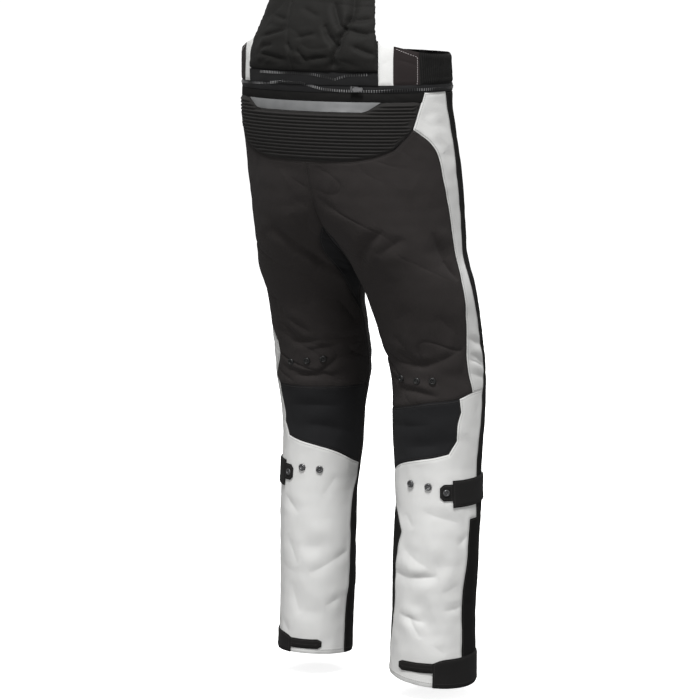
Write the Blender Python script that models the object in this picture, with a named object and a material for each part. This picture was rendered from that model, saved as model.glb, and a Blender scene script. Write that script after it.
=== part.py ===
"""Textile motorcycle trousers, filled out as if worn, hollow, with no wearer.

The cloth is one surface for each side of the body, read from horizontal sections. It is cut along the seams
into the panels that a maker sews, each a closed wall. What lies on a panel is made from the panel's own
points, moved out. Heights are millimetres above the waist edge, and angles are degrees round a section:
0 is the outer side, 90 the back, -90 the front, and 180 the inside of the leg.
"""

import math
from collections import defaultdict, namedtuple

import bmesh
import bpy
from mathutils import Matrix, Vector
from mathutils.geometry import delaunay_2d_cdt

# Driving sizes in millimetres
MM = 0.001
WALL = 2.0
SEAM_GAP = 0.3
SHARPEST = 0.12
LENGTH = 1066.0
CROTCH = -370.0
WAIST_EDGE_RISE = 24.0
ZIP_TOP, ZIP_BOTTOM, FRONT_SEAM = -48.0, -60.0, -54.0
YOKE_BOTTOM, STRIP_BOTTOM = -75.0, -91.0
RIBS_BOTTOM = -172.0
RIB_PITCH, RIB_HEIGHT, RIB_FADE = 5.6, 1.7, 6.0
ELASTIC_RIBS, ELASTIC_RIB_HEIGHT = 50, 1.0
FLAP_BOTTOM, FLAP_TOP, FLAP_THICK, FLAP_EDGE = -28.0, 168.0, 10.0, 2.6
KNEE_SEAM_OUTER = -568.0
STRIPE_STEP = -786.0
CALF_BAND_TOP, CALF_BAND_BOTTOM = -716.0, -762.0
CALF_TAB_TOP, CALF_TAB_BOTTOM = -722.0, -750.0
HEEL_TOP = -1024.0
HEEL_STRAP_TOP, HEEL_STRAP_BOTTOM = -1030.0, -1047.0
FLY_BOTTOM = -222.0
SNAP_RADIUS, SNAP_HEIGHT, SNAP_CLEAR = 6.2, 2.4, 0.4
CALF_TAB_THICK = 1.8
BUTTON_RADIUS, BUTTON_HEIGHT = 8.5, 3.2
SLIDER_LONG, SLIDER_TALL, SLIDER_DEEP, SLIDER_CLEAR = 12.0, 8.6, 2.8, 0.6
PIN_RADIUS, PIN_FROM_END = 0.7, 2.0
EYE_RADIUS, EYE_WALL, EYE_SIDES = 1.0, 1.1, 14
LUG_LONG, LUG_THICK, LUG_GAP, LUG_RIM = 2.6, 1.3, 5.2, 0.5
PULL_LONG, PULL_NECK, PULL_TALL, PULL_THICK = 18.0, 3.6, 6.4, 1.4

# Spacing of the wall's points, and millimetres of pattern for one degree
GRID, GRID_TORSO, GRID_FLAP = 27.0, 20.0, 13.0
SEAM_STEP = 21.0
PER_DEGREE = 1.6

# How far round a fastener's middle the wall's facets are looked at
SEAT_REACH = 40.0

RIGHT, LEFT = -1, 1
SIDES = {"right": RIGHT, "left": LEFT}

# Finishes: colour (linear), roughness and metal
BLACK = ((0.032, 0.029, 0.028), 0.85, 0.0)
BLUE_BLACK = ((0.014, 0.015, 0.018), 0.7, 0.0)
WHITE = ((0.66, 0.66, 0.64), 0.8, 0.0)
GREY_PANEL = ((0.045, 0.04, 0.04), 0.85, 0.0)
DARK = ((0.012, 0.012, 0.012), 0.7, 0.0)
REFLECTIVE = ((0.19, 0.19, 0.19), 0.45, 0.2)
ZIP_BLACK = ((0.01, 0.01, 0.01), 0.5, 0.0)
METAL = ((0.2, 0.2, 0.2), 0.35, 1.0)

# Places of the fasteners: name, angle, height
SNAPS = {
    RIGHT: [("thigh_snap_1", 76, -544), ("thigh_snap_2", 95, -545), ("thigh_snap_3", 118, -544),
            ("calf_snap_1", 83, -726), ("calf_snap_2", 108, -724), ("tab_snap", 60, -736)],
    LEFT: [("thigh_snap_1", 73, -537), ("thigh_snap_2", 95, -532), ("thigh_snap_3", 114, -528),
           ("calf_snap_1", 83, -724), ("calf_snap_2", 109, -726), ("tab_snap", 60, -736)],
}
BUTTON_PLACE = (-83, -27)
SLIDER_PLACE = (RIGHT, 62.0, -54.0)

Section = namedtuple("Section", "height centre_x centre_y right_width right_depth left_width left_depth turn")
SECTIONS = [
    Section(180, 0, -58, 180, 103, 180, 103, 0),
    Section(90, 0, -31, 186, 112, 186, 112, 0),
    Section(0, 0, 0, 190, 122, 190, 122, 0),
    Section(-54, 0, -3, 191, 127, 191, 127, 0),
    Section(-130, 4, -12, 189, 137, 189, 137, 0),
    Section(-190, 16, -26, 177, 140, 177, 140, 0),
    Section(-250, 42, -38, 149, 135, 149, 135, 0),
    Section(-310, 75, -46, 114, 118, 114, 118, 0),
    Section(-345, 92, -54, 98, 105, 98, 105, 0),
    Section(-370, 99, -60, 99, 98, 99, 98, 0),
    Section(-410, 107, -72, 94, 93, 86, 86, 2),
    Section(-480, 112, -95, 86, 87, 84, 85, 7),
    Section(-560, 118, -113, 79, 83, 83, 86, 11),
    Section(-620, 117, -111, 80, 79, 76, 75, 12),
    Section(-700, 118, -109, 75, 77, 70, 72, 12),
    Section(-780, 122, -104, 74, 76, 68, 70, 12),
    Section(-860, 121, -99, 74, 75, 67, 69, 12),
    Section(-940, 120, -95, 72, 74, 66, 67, 12),
    Section(-1090, 121, -89, 75, 77, 65, 67, 12),
]

# Largest folds: a soft trough (positive depth) or ridge (negative) along a line on one side's surface
FOLD_MARGIN = 14.0
Fold = namedtuple("Fold", "side from_angle from_height to_angle to_height width depth")
FOLDS = [
    Fold(LEFT, 72, -285, 138, -352, 16, 7),
    Fold(RIGHT, 64, -282, 112, -342, 15, 6),
    Fold(RIGHT, 30, -306, 14, -362, 14, 5),
    Fold(LEFT, 30, -300, 12, -360, 14, 5),
    Fold(LEFT, 60, -480, 165, -470, 13, 5),
    Fold(LEFT, 50, -500, 150, -504, 12, 5),
    Fold(LEFT, 70, -560, 160, -556, 10, 3),
    Fold(RIGHT, 60, -500, 150, -512, 13, 5),
    Fold(RIGHT, 50, -564, 130, -570, 9, 3),
    Fold(RIGHT, 52, -660, 120, -650, 13, 4),
    Fold(LEFT, 70, -640, 140, -655, 13, 4),
    Fold(RIGHT, 60, -860, 96, -886, 14, 5),
    Fold(RIGHT, 100, -925, 66, -990, 14, 5),
    Fold(RIGHT, 120, -820, 84, -850, 12, 3),
    Fold(LEFT, 80, -850, 130, -880, 14, 4),
    Fold(LEFT, 70, -960, 120, -985, 14, 3),
    Fold(RIGHT, -40, -560, -140, -590, 16, 5),
    Fold(LEFT, -40, -565, -140, -600, 16, 5),
    Fold(RIGHT, -60, -330, -150, -380, 16, 6),
    Fold(LEFT, -60, -335, -150, -385, 16, 6),
    Fold(RIGHT, -50, -880, -120, -900, 15, 4),
    Fold(LEFT, -60, -900, -120, -880, 15, 4),
]

# Angle of each seam that runs down the trousers, by height
STRIPE_BACK = [(-60, -1), (-94, -3), (-134, -5), (-226, -6), (-282, -10), (-312, -11), (-350, -10), (-388, -8),
               (-446, -7), (-520, -7), (-568, 3), (-626, 6), (-652, 9), (-786, 9)]
STRIPE_FRONT = [(-60, -11), (-134, -15), (-226, -17), (-312, -26), (-388, -26), (-480, -24), (-568, -18),
                (-700, -20), (-786, -20), (-900, -18), (-1100, -18)]
GUSSET_BACK = [(-786, 24), (-874, 26), (-924, 29), (-978, 28), (-1100, 28)]
HIP_BACK = {
    RIGHT: [(-60, 20.5), (-78, 23), (-96, 26), (-112, 28.5), (-119, 29.5), (-131, 21), (-144, 16), (-156, 13.5),
            (-196, 11.5), (-250, 8), (-290, 5), (-334, 4), (-370, 6), (-412, 11), (-440, 15), (-496, 25),
            (-530, 29), (-568, 25)],
    LEFT: [(-60, 20.5), (-78, 23), (-96, 26), (-112, 28.5), (-119, 29.5), (-131, 21), (-144, 16), (-156, 13.5),
           (-196, 11.5), (-250, 8), (-290, 5), (-334, 4), (-370, 6), (-412, 12), (-440, 16), (-480, 26),
           (-502, 50), (-524, 54), (-545, 46), (-568, 30)],
}
GUSSET_EDGE = [(-285, 118), (-310, 121), (-335, 131), (-360, 144), (-400, 161), (-440, 180)]
INNER_STRIPE = {
    RIGHT: [(-748, 184), (-780, 150), (-792, 131), (-806, 126), (-844, 134), (-900, 138), (-942, 138),
            (-980, 146), (-1100, 156)],
    LEFT: [(-748, 184), (-780, 172), (-800, 169), (-860, 168), (-914, 168), (-966, 164), (-1100, 163)],
}
INSEAM_SHIFT = [(-1100, 16), (-800, 15), (-748, 4), (-700, 0), (CROTCH, 0)]

# Height of each seam that runs round the trousers, by angle
KNEE_SEAM = {
    RIGHT: [(3, -568), (25, -568), (44, -577), (82, -582), (108, -590), (158, -604), (180, -606)],
    LEFT: [(3, -568), (30, -568), (44, -580), (62, -579), (95, -578), (131, -578), (180, -581)],
}
RIBS_LOWER = [(29.5, -119), (32.5, -133), (39, -147), (48, -158), (65, -169), (91.5, -172)]
KNEE_BACK_OUTLINE = [(42, -600), (48, -622), (47, -648), (57, -671), (75, -677), (94, -681), (109, -686),
                     (125, -692), (141, -701), (156, -712)]
FLAP_CORNER = 50.5
FLAP_SIDE = [(-48, 49.5), (45, 53), (85, 56.5), (125, 61)]


class Curve:
    """A smooth curve through rows of (place, value), read at any place."""

    def __init__(self, rows):
        rows = sorted(rows)
        self.places = [row[0] for row in rows]
        self.values = [row[1] for row in rows]
        steps = [b - a for a, b in zip(self.places, self.places[1:])]
        slopes = [(b - a) / s for a, b, s in zip(self.values, self.values[1:], steps)]
        self.slopes = [slopes[0]]
        for left, right, before, after in zip(steps, steps[1:], slopes, slopes[1:]):
            mean = (before * right + after * left) / (left + right)
            self.slopes.append(mean if before * after > 0 else 0.0)
        self.slopes.append(slopes[-1])

    def __call__(self, place):
        place = min(max(place, self.places[0]), self.places[-1])
        i = 0
        while i < len(self.places) - 2 and place > self.places[i + 1]:
            i += 1
        span = self.places[i + 1] - self.places[i]
        t = (place - self.places[i]) / span
        start, end = self.values[i], self.values[i + 1]
        lead, trail = self.slopes[i] * span, self.slopes[i + 1] * span
        rise = start * (2 * t**3 - 3 * t**2 + 1) + end * (3 * t**2 - 2 * t**3)
        return rise + lead * (t**3 - 2 * t**2 + t) + trail * (t**3 - t**2)


def column(name):
    return Curve([(row.height, getattr(row, name)) for row in SECTIONS])


CENTRE_X, CENTRE_Y, TURN = column("centre_x"), column("centre_y"), column("turn")
WIDTH = {RIGHT: column("right_width"), LEFT: column("left_width")}
DEPTH = {RIGHT: column("right_depth"), LEFT: column("left_depth")}
INSEAM = Curve(INSEAM_SHIFT)
WAIST_EDGE = Curve([(-90, 0), (5, 0), (24, 4), (41, 14), (50, 22), (90, WAIST_EDGE_RISE)])
HEM = {
    RIGHT: lambda angle: -LENGTH - 4 - 8 * math.cos(math.radians(angle)),
    LEFT: lambda angle: -LENGTH + 2 + 8 * math.sin(math.radians(angle)),
}


def smoothstep(t):
    t = min(max(t, 0.0), 1.0)
    return t * t * (3 - 2 * t)


def centre_angle(side, height):
    """Angle where a section meets the middle of the body, or the inseam below the crotch."""
    if height <= CROTCH:
        return 180.0 + INSEAM(height)
    meet = -CENTRE_X(height) / WIDTH[side](height)
    return math.degrees(math.acos(max(meet, -1.0)))


def front_angle(side, height):
    return -centre_angle(side, height) if height > CROTCH else centre_angle(side, height) - 360.0


def swell(side, angle, height):
    """Millimetres that the folds move the surface out at a place. They die out at the middle seams."""
    reach = (WIDTH[side](height) + DEPTH[side](height)) / 2
    per_degree = math.radians(reach)
    out = 0.0
    for fold in FOLDS:
        if fold.side != side:
            continue
        ax, ay = (angle - fold.from_angle) * per_degree, height - fold.from_height
        bx, by = (fold.to_angle - fold.from_angle) * per_degree, fold.to_height - fold.from_height
        along = (ax * bx + ay * by) / (bx * bx + by * by)
        near = min(max(along, 0.0), 1.0)
        distance = math.hypot(ax - near * bx, ay - near * by)
        taper = smoothstep(min(near, 1 - near) * 4 + 0.15)
        out -= fold.depth * taper * math.exp(-(distance / fold.width) ** 2)
        out += 0.5 * fold.depth * taper * math.exp(-((distance - 2 * fold.width) / fold.width) ** 2)
    margin = min(centre_angle(side, height) - angle, angle - front_angle(side, height))
    return out * smoothstep(margin / FOLD_MARGIN)


def surface(side, angle, height):
    """Point of the outer surface, in metres."""
    turned = math.radians(angle + side * TURN(height))
    width, depth = WIDTH[side](height), DEPTH[side](height)
    out = Vector((math.cos(turned) / width, math.sin(turned) / depth)).normalized() * swell(side, angle, height)
    x = CENTRE_X(height) + width * math.cos(turned) + out.x
    y = CENTRE_Y(height) + depth * math.sin(turned) + out.y
    return Vector((side * x, y, height)) * MM


def outward(side, angle, height):
    """Unit vector out of the surface."""
    around = surface(side, angle + 0.5, height) - surface(side, angle - 0.5, height)
    up = surface(side, angle, height + 1.0) - surface(side, angle, height - 1.0)
    return around.cross(up).normalized() * side


def down(curve, top, bottom, *stops):
    """Points of a seam that runs down, at even steps between its stops."""
    marks = [top, *stops, bottom]
    points = []
    for a, b in zip(marks, marks[1:]):
        count = max(1, round(abs(b - a) / SEAM_STEP))
        points += [(curve(a + (b - a) * i / count), a + (b - a) * i / count) for i in range(count)]
    return points + [(curve(bottom), bottom)]


def across(curve, start, end, *stops):
    """Points of a seam that runs round, at even steps between its stops."""
    marks = [start, *stops, end]
    step = SEAM_STEP / PER_DEGREE
    points = []
    for a, b in zip(marks, marks[1:]):
        count = max(1, round(abs(b - a) / step))
        points += [(a + (b - a) * i / count, curve(a + (b - a) * i / count)) for i in range(count)]
    return points + [(end, curve(end))]


def level(height):
    return lambda angle: height


def plumb(angle):
    return lambda height: angle


def seams(side):
    """All the lines along which one side of the trousers is cut or covered."""
    centre = lambda height: centre_angle(side, height)
    front = lambda height: front_angle(side, height)
    stripe_back, stripe_front = Curve(STRIPE_BACK), Curve(STRIPE_FRONT)
    gusset_back, hip_back = Curve(GUSSET_BACK), Curve(HIP_BACK[side])
    inner, gusset_edge = Curve(INNER_STRIPE[side]), Curve(GUSSET_EDGE)
    knee, corner = Curve(KNEE_SEAM[side]), WAIST_EDGE(FLAP_CORNER)
    flap_side = Curve([*FLAP_SIDE, (corner, FLAP_CORNER)])
    hem = HEM[side]
    low = -LENGTH - 30
    lines = [
        # waistband
        across(WAIST_EDGE, -90, 90, -38, 24, 41, FLAP_CORNER),
        across(level(FRONT_SEAM), -90, -38),
        across(level(ZIP_TOP), -38, 90, 24, 41, 49.5),
        across(level(ZIP_BOTTOM), -38, centre(ZIP_BOTTOM), stripe_front(-60), stripe_back(-60), hip_back(-60)),
        down(plumb(-38), WAIST_EDGE(-38), ZIP_BOTTOM, ZIP_TOP, FRONT_SEAM),
        down(plumb(24), WAIST_EDGE(24), ZIP_TOP),
        down(plumb(41), WAIST_EDGE(41), ZIP_TOP),
        # flap
        down(flap_side, 125, ZIP_TOP, corner, FLAP_BOTTOM),
        [(61, 125), (62.6, 142), (66, 156), (72, 165), (81, 167.6), (90, FLAP_TOP)],
        across(level(FLAP_BOTTOM), flap_side(FLAP_BOTTOM), 90),
        # middle of the body, and the inseam
        down(centre, FLAP_TOP, CROTCH, WAIST_EDGE(90), FLAP_BOTTOM, ZIP_TOP, ZIP_BOTTOM, YOKE_BOTTOM, STRIP_BOTTOM,
             RIBS_BOTTOM, -285, -310, -330, -345, -357),
        down(front, 0, CROTCH, FRONT_SEAM, -285, -310, -330, -345, -357),
        down(centre, CROTCH, low, -440, KNEE_SEAM[side][-1][1], -724, -748),
        down(front, CROTCH, low, -440, KNEE_SEAM[side][-1][1], -724, -748),
        # yoke and ribs
        across(level(YOKE_BOTTOM), hip_back(YOKE_BOTTOM), centre(YOKE_BOTTOM), 48),
        [(48, YOKE_BOTTOM), (57, STRIP_BOTTOM)],
        across(level(STRIP_BOTTOM), 57, centre(STRIP_BOTTOM)),
        across(Curve(RIBS_LOWER), 29.5, centre(RIBS_BOTTOM)),
        # hip, thigh and side
        down(hip_back, ZIP_BOTTOM, KNEE_SEAM_OUTER, YOKE_BOTTOM, -119),
        down(stripe_back, ZIP_BOTTOM, STRIPE_STEP, KNEE_SEAM_OUTER, CALF_BAND_TOP, CALF_BAND_BOTTOM),
        down(stripe_front, ZIP_BOTTOM, low, CALF_BAND_TOP, CALF_BAND_BOTTOM, STRIPE_STEP, HEEL_TOP),
        down(gusset_edge, -285, -440),
        across(knee, 3, 180, hip_back(KNEE_SEAM_OUTER), 44),
        # knee and calf
        [(44, knee(44)), *KNEE_BACK_OUTLINE, (centre(-724), -724)],
        across(level(STRIPE_STEP), stripe_front(STRIPE_STEP), gusset_back(STRIPE_STEP), stripe_back(STRIPE_STEP)),
        down(gusset_back, STRIPE_STEP, low, HEEL_TOP),
        down(inner, -748, low),
        across(hem, front(low), centre(low), -40, 28, 70, 122),
        # pieces laid on the panels
        across(level(HEEL_TOP), stripe_front(HEEL_TOP), 58),
        [(58, HEEL_TOP), (70, HEEL_STRAP_TOP), (70, HEEL_STRAP_BOTTOM), (70, hem(70))],
        [(70, HEEL_STRAP_TOP), (92, HEEL_STRAP_TOP), (114, HEEL_STRAP_TOP), (120, -1034), (120, -1043),
         (114, HEEL_STRAP_BOTTOM), (92, HEEL_STRAP_BOTTOM), (70, HEEL_STRAP_BOTTOM)],
        across(level(CALF_BAND_TOP), stripe_front(CALF_BAND_TOP), 51, 9, 30),
        across(level(CALF_BAND_BOTTOM), stripe_front(CALF_BAND_BOTTOM), 51, 9, 30),
        down(plumb(51), CALF_BAND_TOP, CALF_BAND_BOTTOM, CALF_TAB_TOP, CALF_TAB_BOTTOM),
        [(51, CALF_TAB_TOP), (63, CALF_TAB_TOP), (68, -728), (68, -744), (63, CALF_TAB_BOTTOM),
         (51, CALF_TAB_BOTTOM)],
    ]
    if side == LEFT:
        fly = [(-76, FRONT_SEAM), (-76, -90), (-76, -130), (-76, -165), (-77.5, -190), (-81, -209), (-86, -219)]
        lines.append(fly + [(front_angle(side, FLY_BOTTOM), FLY_BOTTOM)])
    return lines


def fastener_points(side):
    """Pattern points that the wall must have under its fasteners, so that they sit close."""
    points = [to_pattern((angle, height)) for _, angle, height in SNAPS[side]]
    if side == LEFT:
        points.append(to_pattern(BUTTON_PLACE))
    return points


def to_pattern(point):
    return Vector((point[0] * PER_DEGREE, point[1]))


def nearest(point, start, end):
    """Distance from a point to a straight run, and how far along it the nearest place is."""
    run = end - start
    t = (point - start).dot(run) / run.length_squared
    t = min(max(t, 0.0), 1.0)
    return (start + run * t - point).length, t


def join_ends(lines):
    """Gives a line a point of its own wherever another line ends on it."""
    close, same = 2.5, 1e-4
    for line in lines:
        for end in (0, -1):
            for other in lines:
                if other is line:
                    continue
                best = min(other, key=lambda p: (p - line[end]).length)
                if (best - line[end]).length < close:
                    line[end] = best.copy()
                    continue
                for i in range(len(other) - 1):
                    distance, t = nearest(line[end], other[i], other[i + 1])
                    if distance < close and same < t < 1 - same:
                        other.insert(i + 1, line[end].copy())
                        break
    return lines


def grid_points(lines, fixed, spacing, low, high):
    """Points of an even triangular grid between two heights, kept clear of the lines and the fixed points."""
    runs = [(a, b) for line in lines for a, b in zip(line, line[1:])]
    left = min(p.x for line in lines for p in line)
    right = max(p.x for line in lines for p in line)
    points = []
    rows = int((high - low) / (spacing * 0.866))
    for j in range(rows + 1):
        y = low + (high - low) * j / max(rows, 1)
        x = left + (0.5 * spacing if j % 2 else 0.0)
        while x < right:
            point = Vector((x, y))
            clear = all((point - p).length > 0.7 * spacing for p in fixed)
            if clear and all(nearest(point, a, b)[0] > 0.52 * spacing for a, b in runs):
                points.append(point)
            x += spacing
    return points


class Cloth:
    """One side's surface, cut into the fields between its seams."""

    def __init__(self, side):
        self.side = side
        lines = join_ends([[to_pattern(p) for p in line] for line in seams(side)])
        flap_left = 49.0 * PER_DEGREE
        points = fastener_points(side)
        fixed = list(points)
        points += grid_points(lines, fixed, GRID, -LENGTH - 10, -205)
        torso = grid_points(lines, fixed, GRID_TORSO, -205, 0)
        points += [p for p in torso if p.x < flap_left or p.y < FLAP_BOTTOM]
        behind_flap = grid_points(lines, fixed, GRID_FLAP, FLAP_BOTTOM, FLAP_TOP)
        points += [p for p in behind_flap if p.x > flap_left]
        edges = []
        for line in lines:
            first = len(points)
            points += line
            edges += [(first + i, first + i + 1) for i in range(len(line) - 1)]
        result = delaunay_2d_cdt(points, edges, [], 0, 1e-3)
        self.verts, self.edges, self.faces = result[0], result[1], result[2]
        cuts = {frozenset(edge) for edge, source in zip(self.edges, result[4]) if source}
        self.split(cuts)

    def split(self, cuts):
        """Numbers the fields: triangles that meet at an edge which isn't a seam are in one field."""
        sharing = defaultdict(list)
        for i, face in enumerate(self.faces):
            for a, b in zip(face, face[1:] + face[:1]):
                sharing[frozenset((a, b))].append(i)
        self.field = [None] * len(self.faces)
        for seed in range(len(self.faces)):
            if self.field[seed] is not None:
                continue
            self.field[seed] = seed
            stack = [seed]
            while stack:
                face = self.faces[stack.pop()]
                for a, b in zip(face, face[1:] + face[:1]):
                    edge = frozenset((a, b))
                    for other in sharing[edge]:
                        if edge not in cuts and self.field[other] is None:
                            self.field[other] = seed
                            stack.append(other)

    def field_at(self, angle, height):
        point = to_pattern((angle, height))
        for i, face in enumerate(self.faces):
            corners = [self.verts[v] for v in face]
            turns = [(b - a).cross(point - a) for a, b in zip(corners, corners[1:] + corners[:1])]
            if all(t >= 0 for t in turns) or all(t <= 0 for t in turns):
                return self.field[i]
        raise ValueError(f"no cloth at {angle}, {height}")

    def triangles(self, seeds):
        """Triangles of the fields at the seeds, as triples of (side, angle, height), facing out."""
        wanted = {self.field_at(*seed) for seed in seeds}
        found = []
        for face, field in zip(self.faces, self.field):
            if field in wanted:
                corners = [self.verts[v] for v in face]
                if (corners[1] - corners[0]).cross(corners[2] - corners[0]) * self.side < 0:
                    corners.reverse()
                found.append(tuple(self.place(c) for c in corners))
        return found

    def place(self, corner):
        angle, height = corner.x / PER_DEGREE, corner.y
        on_middle = height > RIBS_BOTTOM - 1 and abs(angle - centre_angle(self.side, height)) < 0.02
        return (0 if on_middle else self.side, round(angle, 3), round(height, 3))

    def seat(self, angle, height, radius):
        """Frame of a round fastener: square to the facets round its middle, and on the highest of them."""
        centre = to_pattern((angle, height))
        facets, normal = [], Vector()
        for face in self.faces:
            corners = [self.verts[v] for v in face]
            if min((c - centre).length for c in corners) > SEAT_REACH:
                continue
            facet = [surface(self.side, c.x / PER_DEGREE, c.y) for c in corners]
            facets.append(facet)
            if min((c - centre).length for c in corners) < 0.01:
                tilt = (facet[1] - facet[0]).cross(facet[2] - facet[0])
                normal += tilt if tilt.dot(outward(self.side, angle, height)) > 0 else -tilt
        frame = frame_at(self.side, angle, height, normal.normalized())
        into = frame.inverted()
        rise = max(highest([into @ p for p in facet], radius * MM) for facet in facets)
        return frame @ Matrix.Translation((0, 0, rise))


def highest(facet, radius):
    """Greatest height of a facet, in a fastener's frame, within the fastener's radius."""
    a, b, c = facet
    area = (b - a).xy.cross((c - a).xy)
    best = -radius
    if abs(area) < 1e-12:
        return best
    for ring in (0.0, 0.5, 0.8, 1.0):
        for i in range(36):
            turn = math.radians(10 * i)
            spot = Vector((math.cos(turn), math.sin(turn))) * radius * ring
            u = (spot - a.xy).cross((c - a).xy) / area
            v = (b - a).xy.cross(spot - a.xy) / area
            if u >= 0 and v >= 0 and u + v <= 1:
                best = max(best, a.z + u * (b.z - a.z) + v * (c.z - a.z))
    return best


def point_and_normal(place):
    side, angle, height = place
    if side:
        return surface(side, angle, height), outward(side, angle, height)
    point, normal = surface(LEFT, angle, height), outward(LEFT, angle, height)
    return Vector((0.0, point.y, point.z)), Vector((0.0, normal.y, normal.z)).normalized()


def border(triangles):
    """Edges that only one triangle has, each with that triangle's third corner."""
    seen = {}
    for tri in triangles:
        for i in range(3):
            seen[tri[i], tri[i - 2]] = tri[i - 1]
    return {edge: third for edge, third in seen.items() if (edge[1], edge[0]) not in seen}


def material(name, colour, roughness, metallic=0.0):
    finish = bpy.data.materials.new(name)
    finish.use_nodes = True
    shader = finish.node_tree.nodes["Principled BSDF"]
    shader.inputs["Base Color"].default_value = (*colour, 1.0)
    shader.inputs["Roughness"].default_value = roughness
    shader.inputs["Metallic"].default_value = metallic
    return finish


def add_object(name, verts, faces, finish):
    mesh = bpy.data.meshes.new(name)
    mesh.from_pydata(verts, [], faces)
    mesh.update()
    colour, roughness, metallic = finish
    mesh.materials.append(material(name, colour, roughness, metallic))
    obj = bpy.data.objects.new(name, mesh)
    bpy.context.scene.collection.objects.link(obj)
    return obj


def wall(name, outer, finish, lift=-WALL, thick=WALL, inner=None, relief=None):
    """Closed wall over triangles of the surface: inner face lifted by lift, outer face thick above it."""
    inner = inner or outer
    edges = border(outer)
    if set(edges) != set(border(inner)):
        raise ValueError(f"{name}: the faces of the wall have different edges")
    base = {place: point_and_normal(place) for tri in outer + inner for place in tri}
    pulls = defaultdict(list)
    for (a, b), third in edges.items():
        along = (base[b][0] - base[a][0]).normalized()
        inward = base[a][1].cross(along).normalized()
        if inward.dot(base[third][0] - base[a][0]) < 0:
            inward = -inward
        pulls[a].append(inward)
        pulls[b].append(inward)
    shift = {}
    for place, ways in pulls.items():
        mean = sum(ways, Vector()).normalized()
        shift[place] = mean * (SEAM_GAP / 2 * MM) / max(mean.dot(ways[0]), SHARPEST)
    verts, faces, number = [], [], {}
    for kind, triangles in (("outer", outer), ("inner", inner)):
        for tri in triangles:
            for place in tri:
                if (kind, place) in number:
                    continue
                point, normal = base[place]
                height = lift
                if kind == "outer":
                    height += thick + (relief(place) if relief else 0.0)
                number[kind, place] = len(verts)
                verts.append(point + shift.get(place, Vector()) + normal * height * MM)
    faces += [tuple(number["outer", p] for p in tri) for tri in outer]
    faces += [tuple(number["inner", p] for p in reversed(tri)) for tri in inner]
    for a, b in edges:
        oa, ob, ia, ib = (number[k, p] for k in ("outer", "inner") for p in (a, b))
        # Neighbours split their shared edge the same way, so that their walls stay parallel
        faces += [(ob, oa, ia), (ob, ia, ib)] if a < b else [(ob, oa, ib), (oa, ia, ib)]
    return add_object(name, verts, faces, finish)


def unrolled(place):
    """Place on a sheet that crosses the middle of the back: degrees from the middle, and height."""
    side, angle, height = place
    return Vector(((centre_angle(side or LEFT, height) - angle) * side * PER_DEGREE, height))


def rolled(point):
    side = LEFT if point.x > 0 else RIGHT
    if abs(point.x) < 1e-3:
        return (0, round(centre_angle(LEFT, point.y), 3), round(point.y, 3))
    return (side, round(centre_angle(side, point.y) - abs(point.x) / PER_DEGREE, 3), round(point.y, 3))


def fine_sheet(triangles, rows, columns, stretch, fade):
    """The same sheet with rows and columns of finer points inside its border."""
    edges = border(triangles)
    places = sorted({p for edge in edges for p in edge})
    index = {place: i for i, place in enumerate(places)}
    flat = [unrolled(p) for p in places]
    runs = [(flat[index[a]], flat[index[b]]) for a, b in edges]
    squeeze = lambda p: Vector((p.x * stretch[0], p.y * stretch[1]))
    points = [squeeze(p) for p in flat]
    kept = list(places)
    for y in rows:
        for x in columns:
            point = Vector((x, y))
            inside = sum((a.y > y) != (b.y > y) and x < a.x + (y - a.y) / (b.y - a.y) * (b.x - a.x)
                         for a, b in runs) % 2
            if inside and all(nearest(point, a, b)[0] > fade for a, b in runs):
                points.append(squeeze(point))
                kept.append(rolled(point))
    result = delaunay_2d_cdt(points, [(index[a], index[b]) for a, b in edges], [], 1, 1e-4)
    found = []
    for face in result[2]:
        corners = [kept[result[3][v][0]] for v in face]
        a, b, c = (result[0][v] for v in face)
        middle = (a + b + c) / 3
        middle = Vector((middle.x / stretch[0], middle.y / stretch[1]))
        inside = sum((p.y > middle.y) != (q.y > middle.y)
                     and middle.x < p.x + (middle.y - p.y) / (q.y - p.y) * (q.x - p.x) for p, q in runs) % 2
        if inside:
            if (b - a).cross(c - a) > 0:
                corners.reverse()
            found.append(tuple(corners))
    return found


def rim_distance(triangles):
    """A function that tells how far a place is from the sheet's border, in pattern millimetres."""
    edges = border(triangles)
    runs = [(unrolled(a), unrolled(b)) for a, b in edges]
    return lambda place: min(nearest(unrolled(place), a, b)[0] for a, b in runs)


def middle_of(first, second, height):
    return ((first(height) + second(height)) / 2, height)


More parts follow.
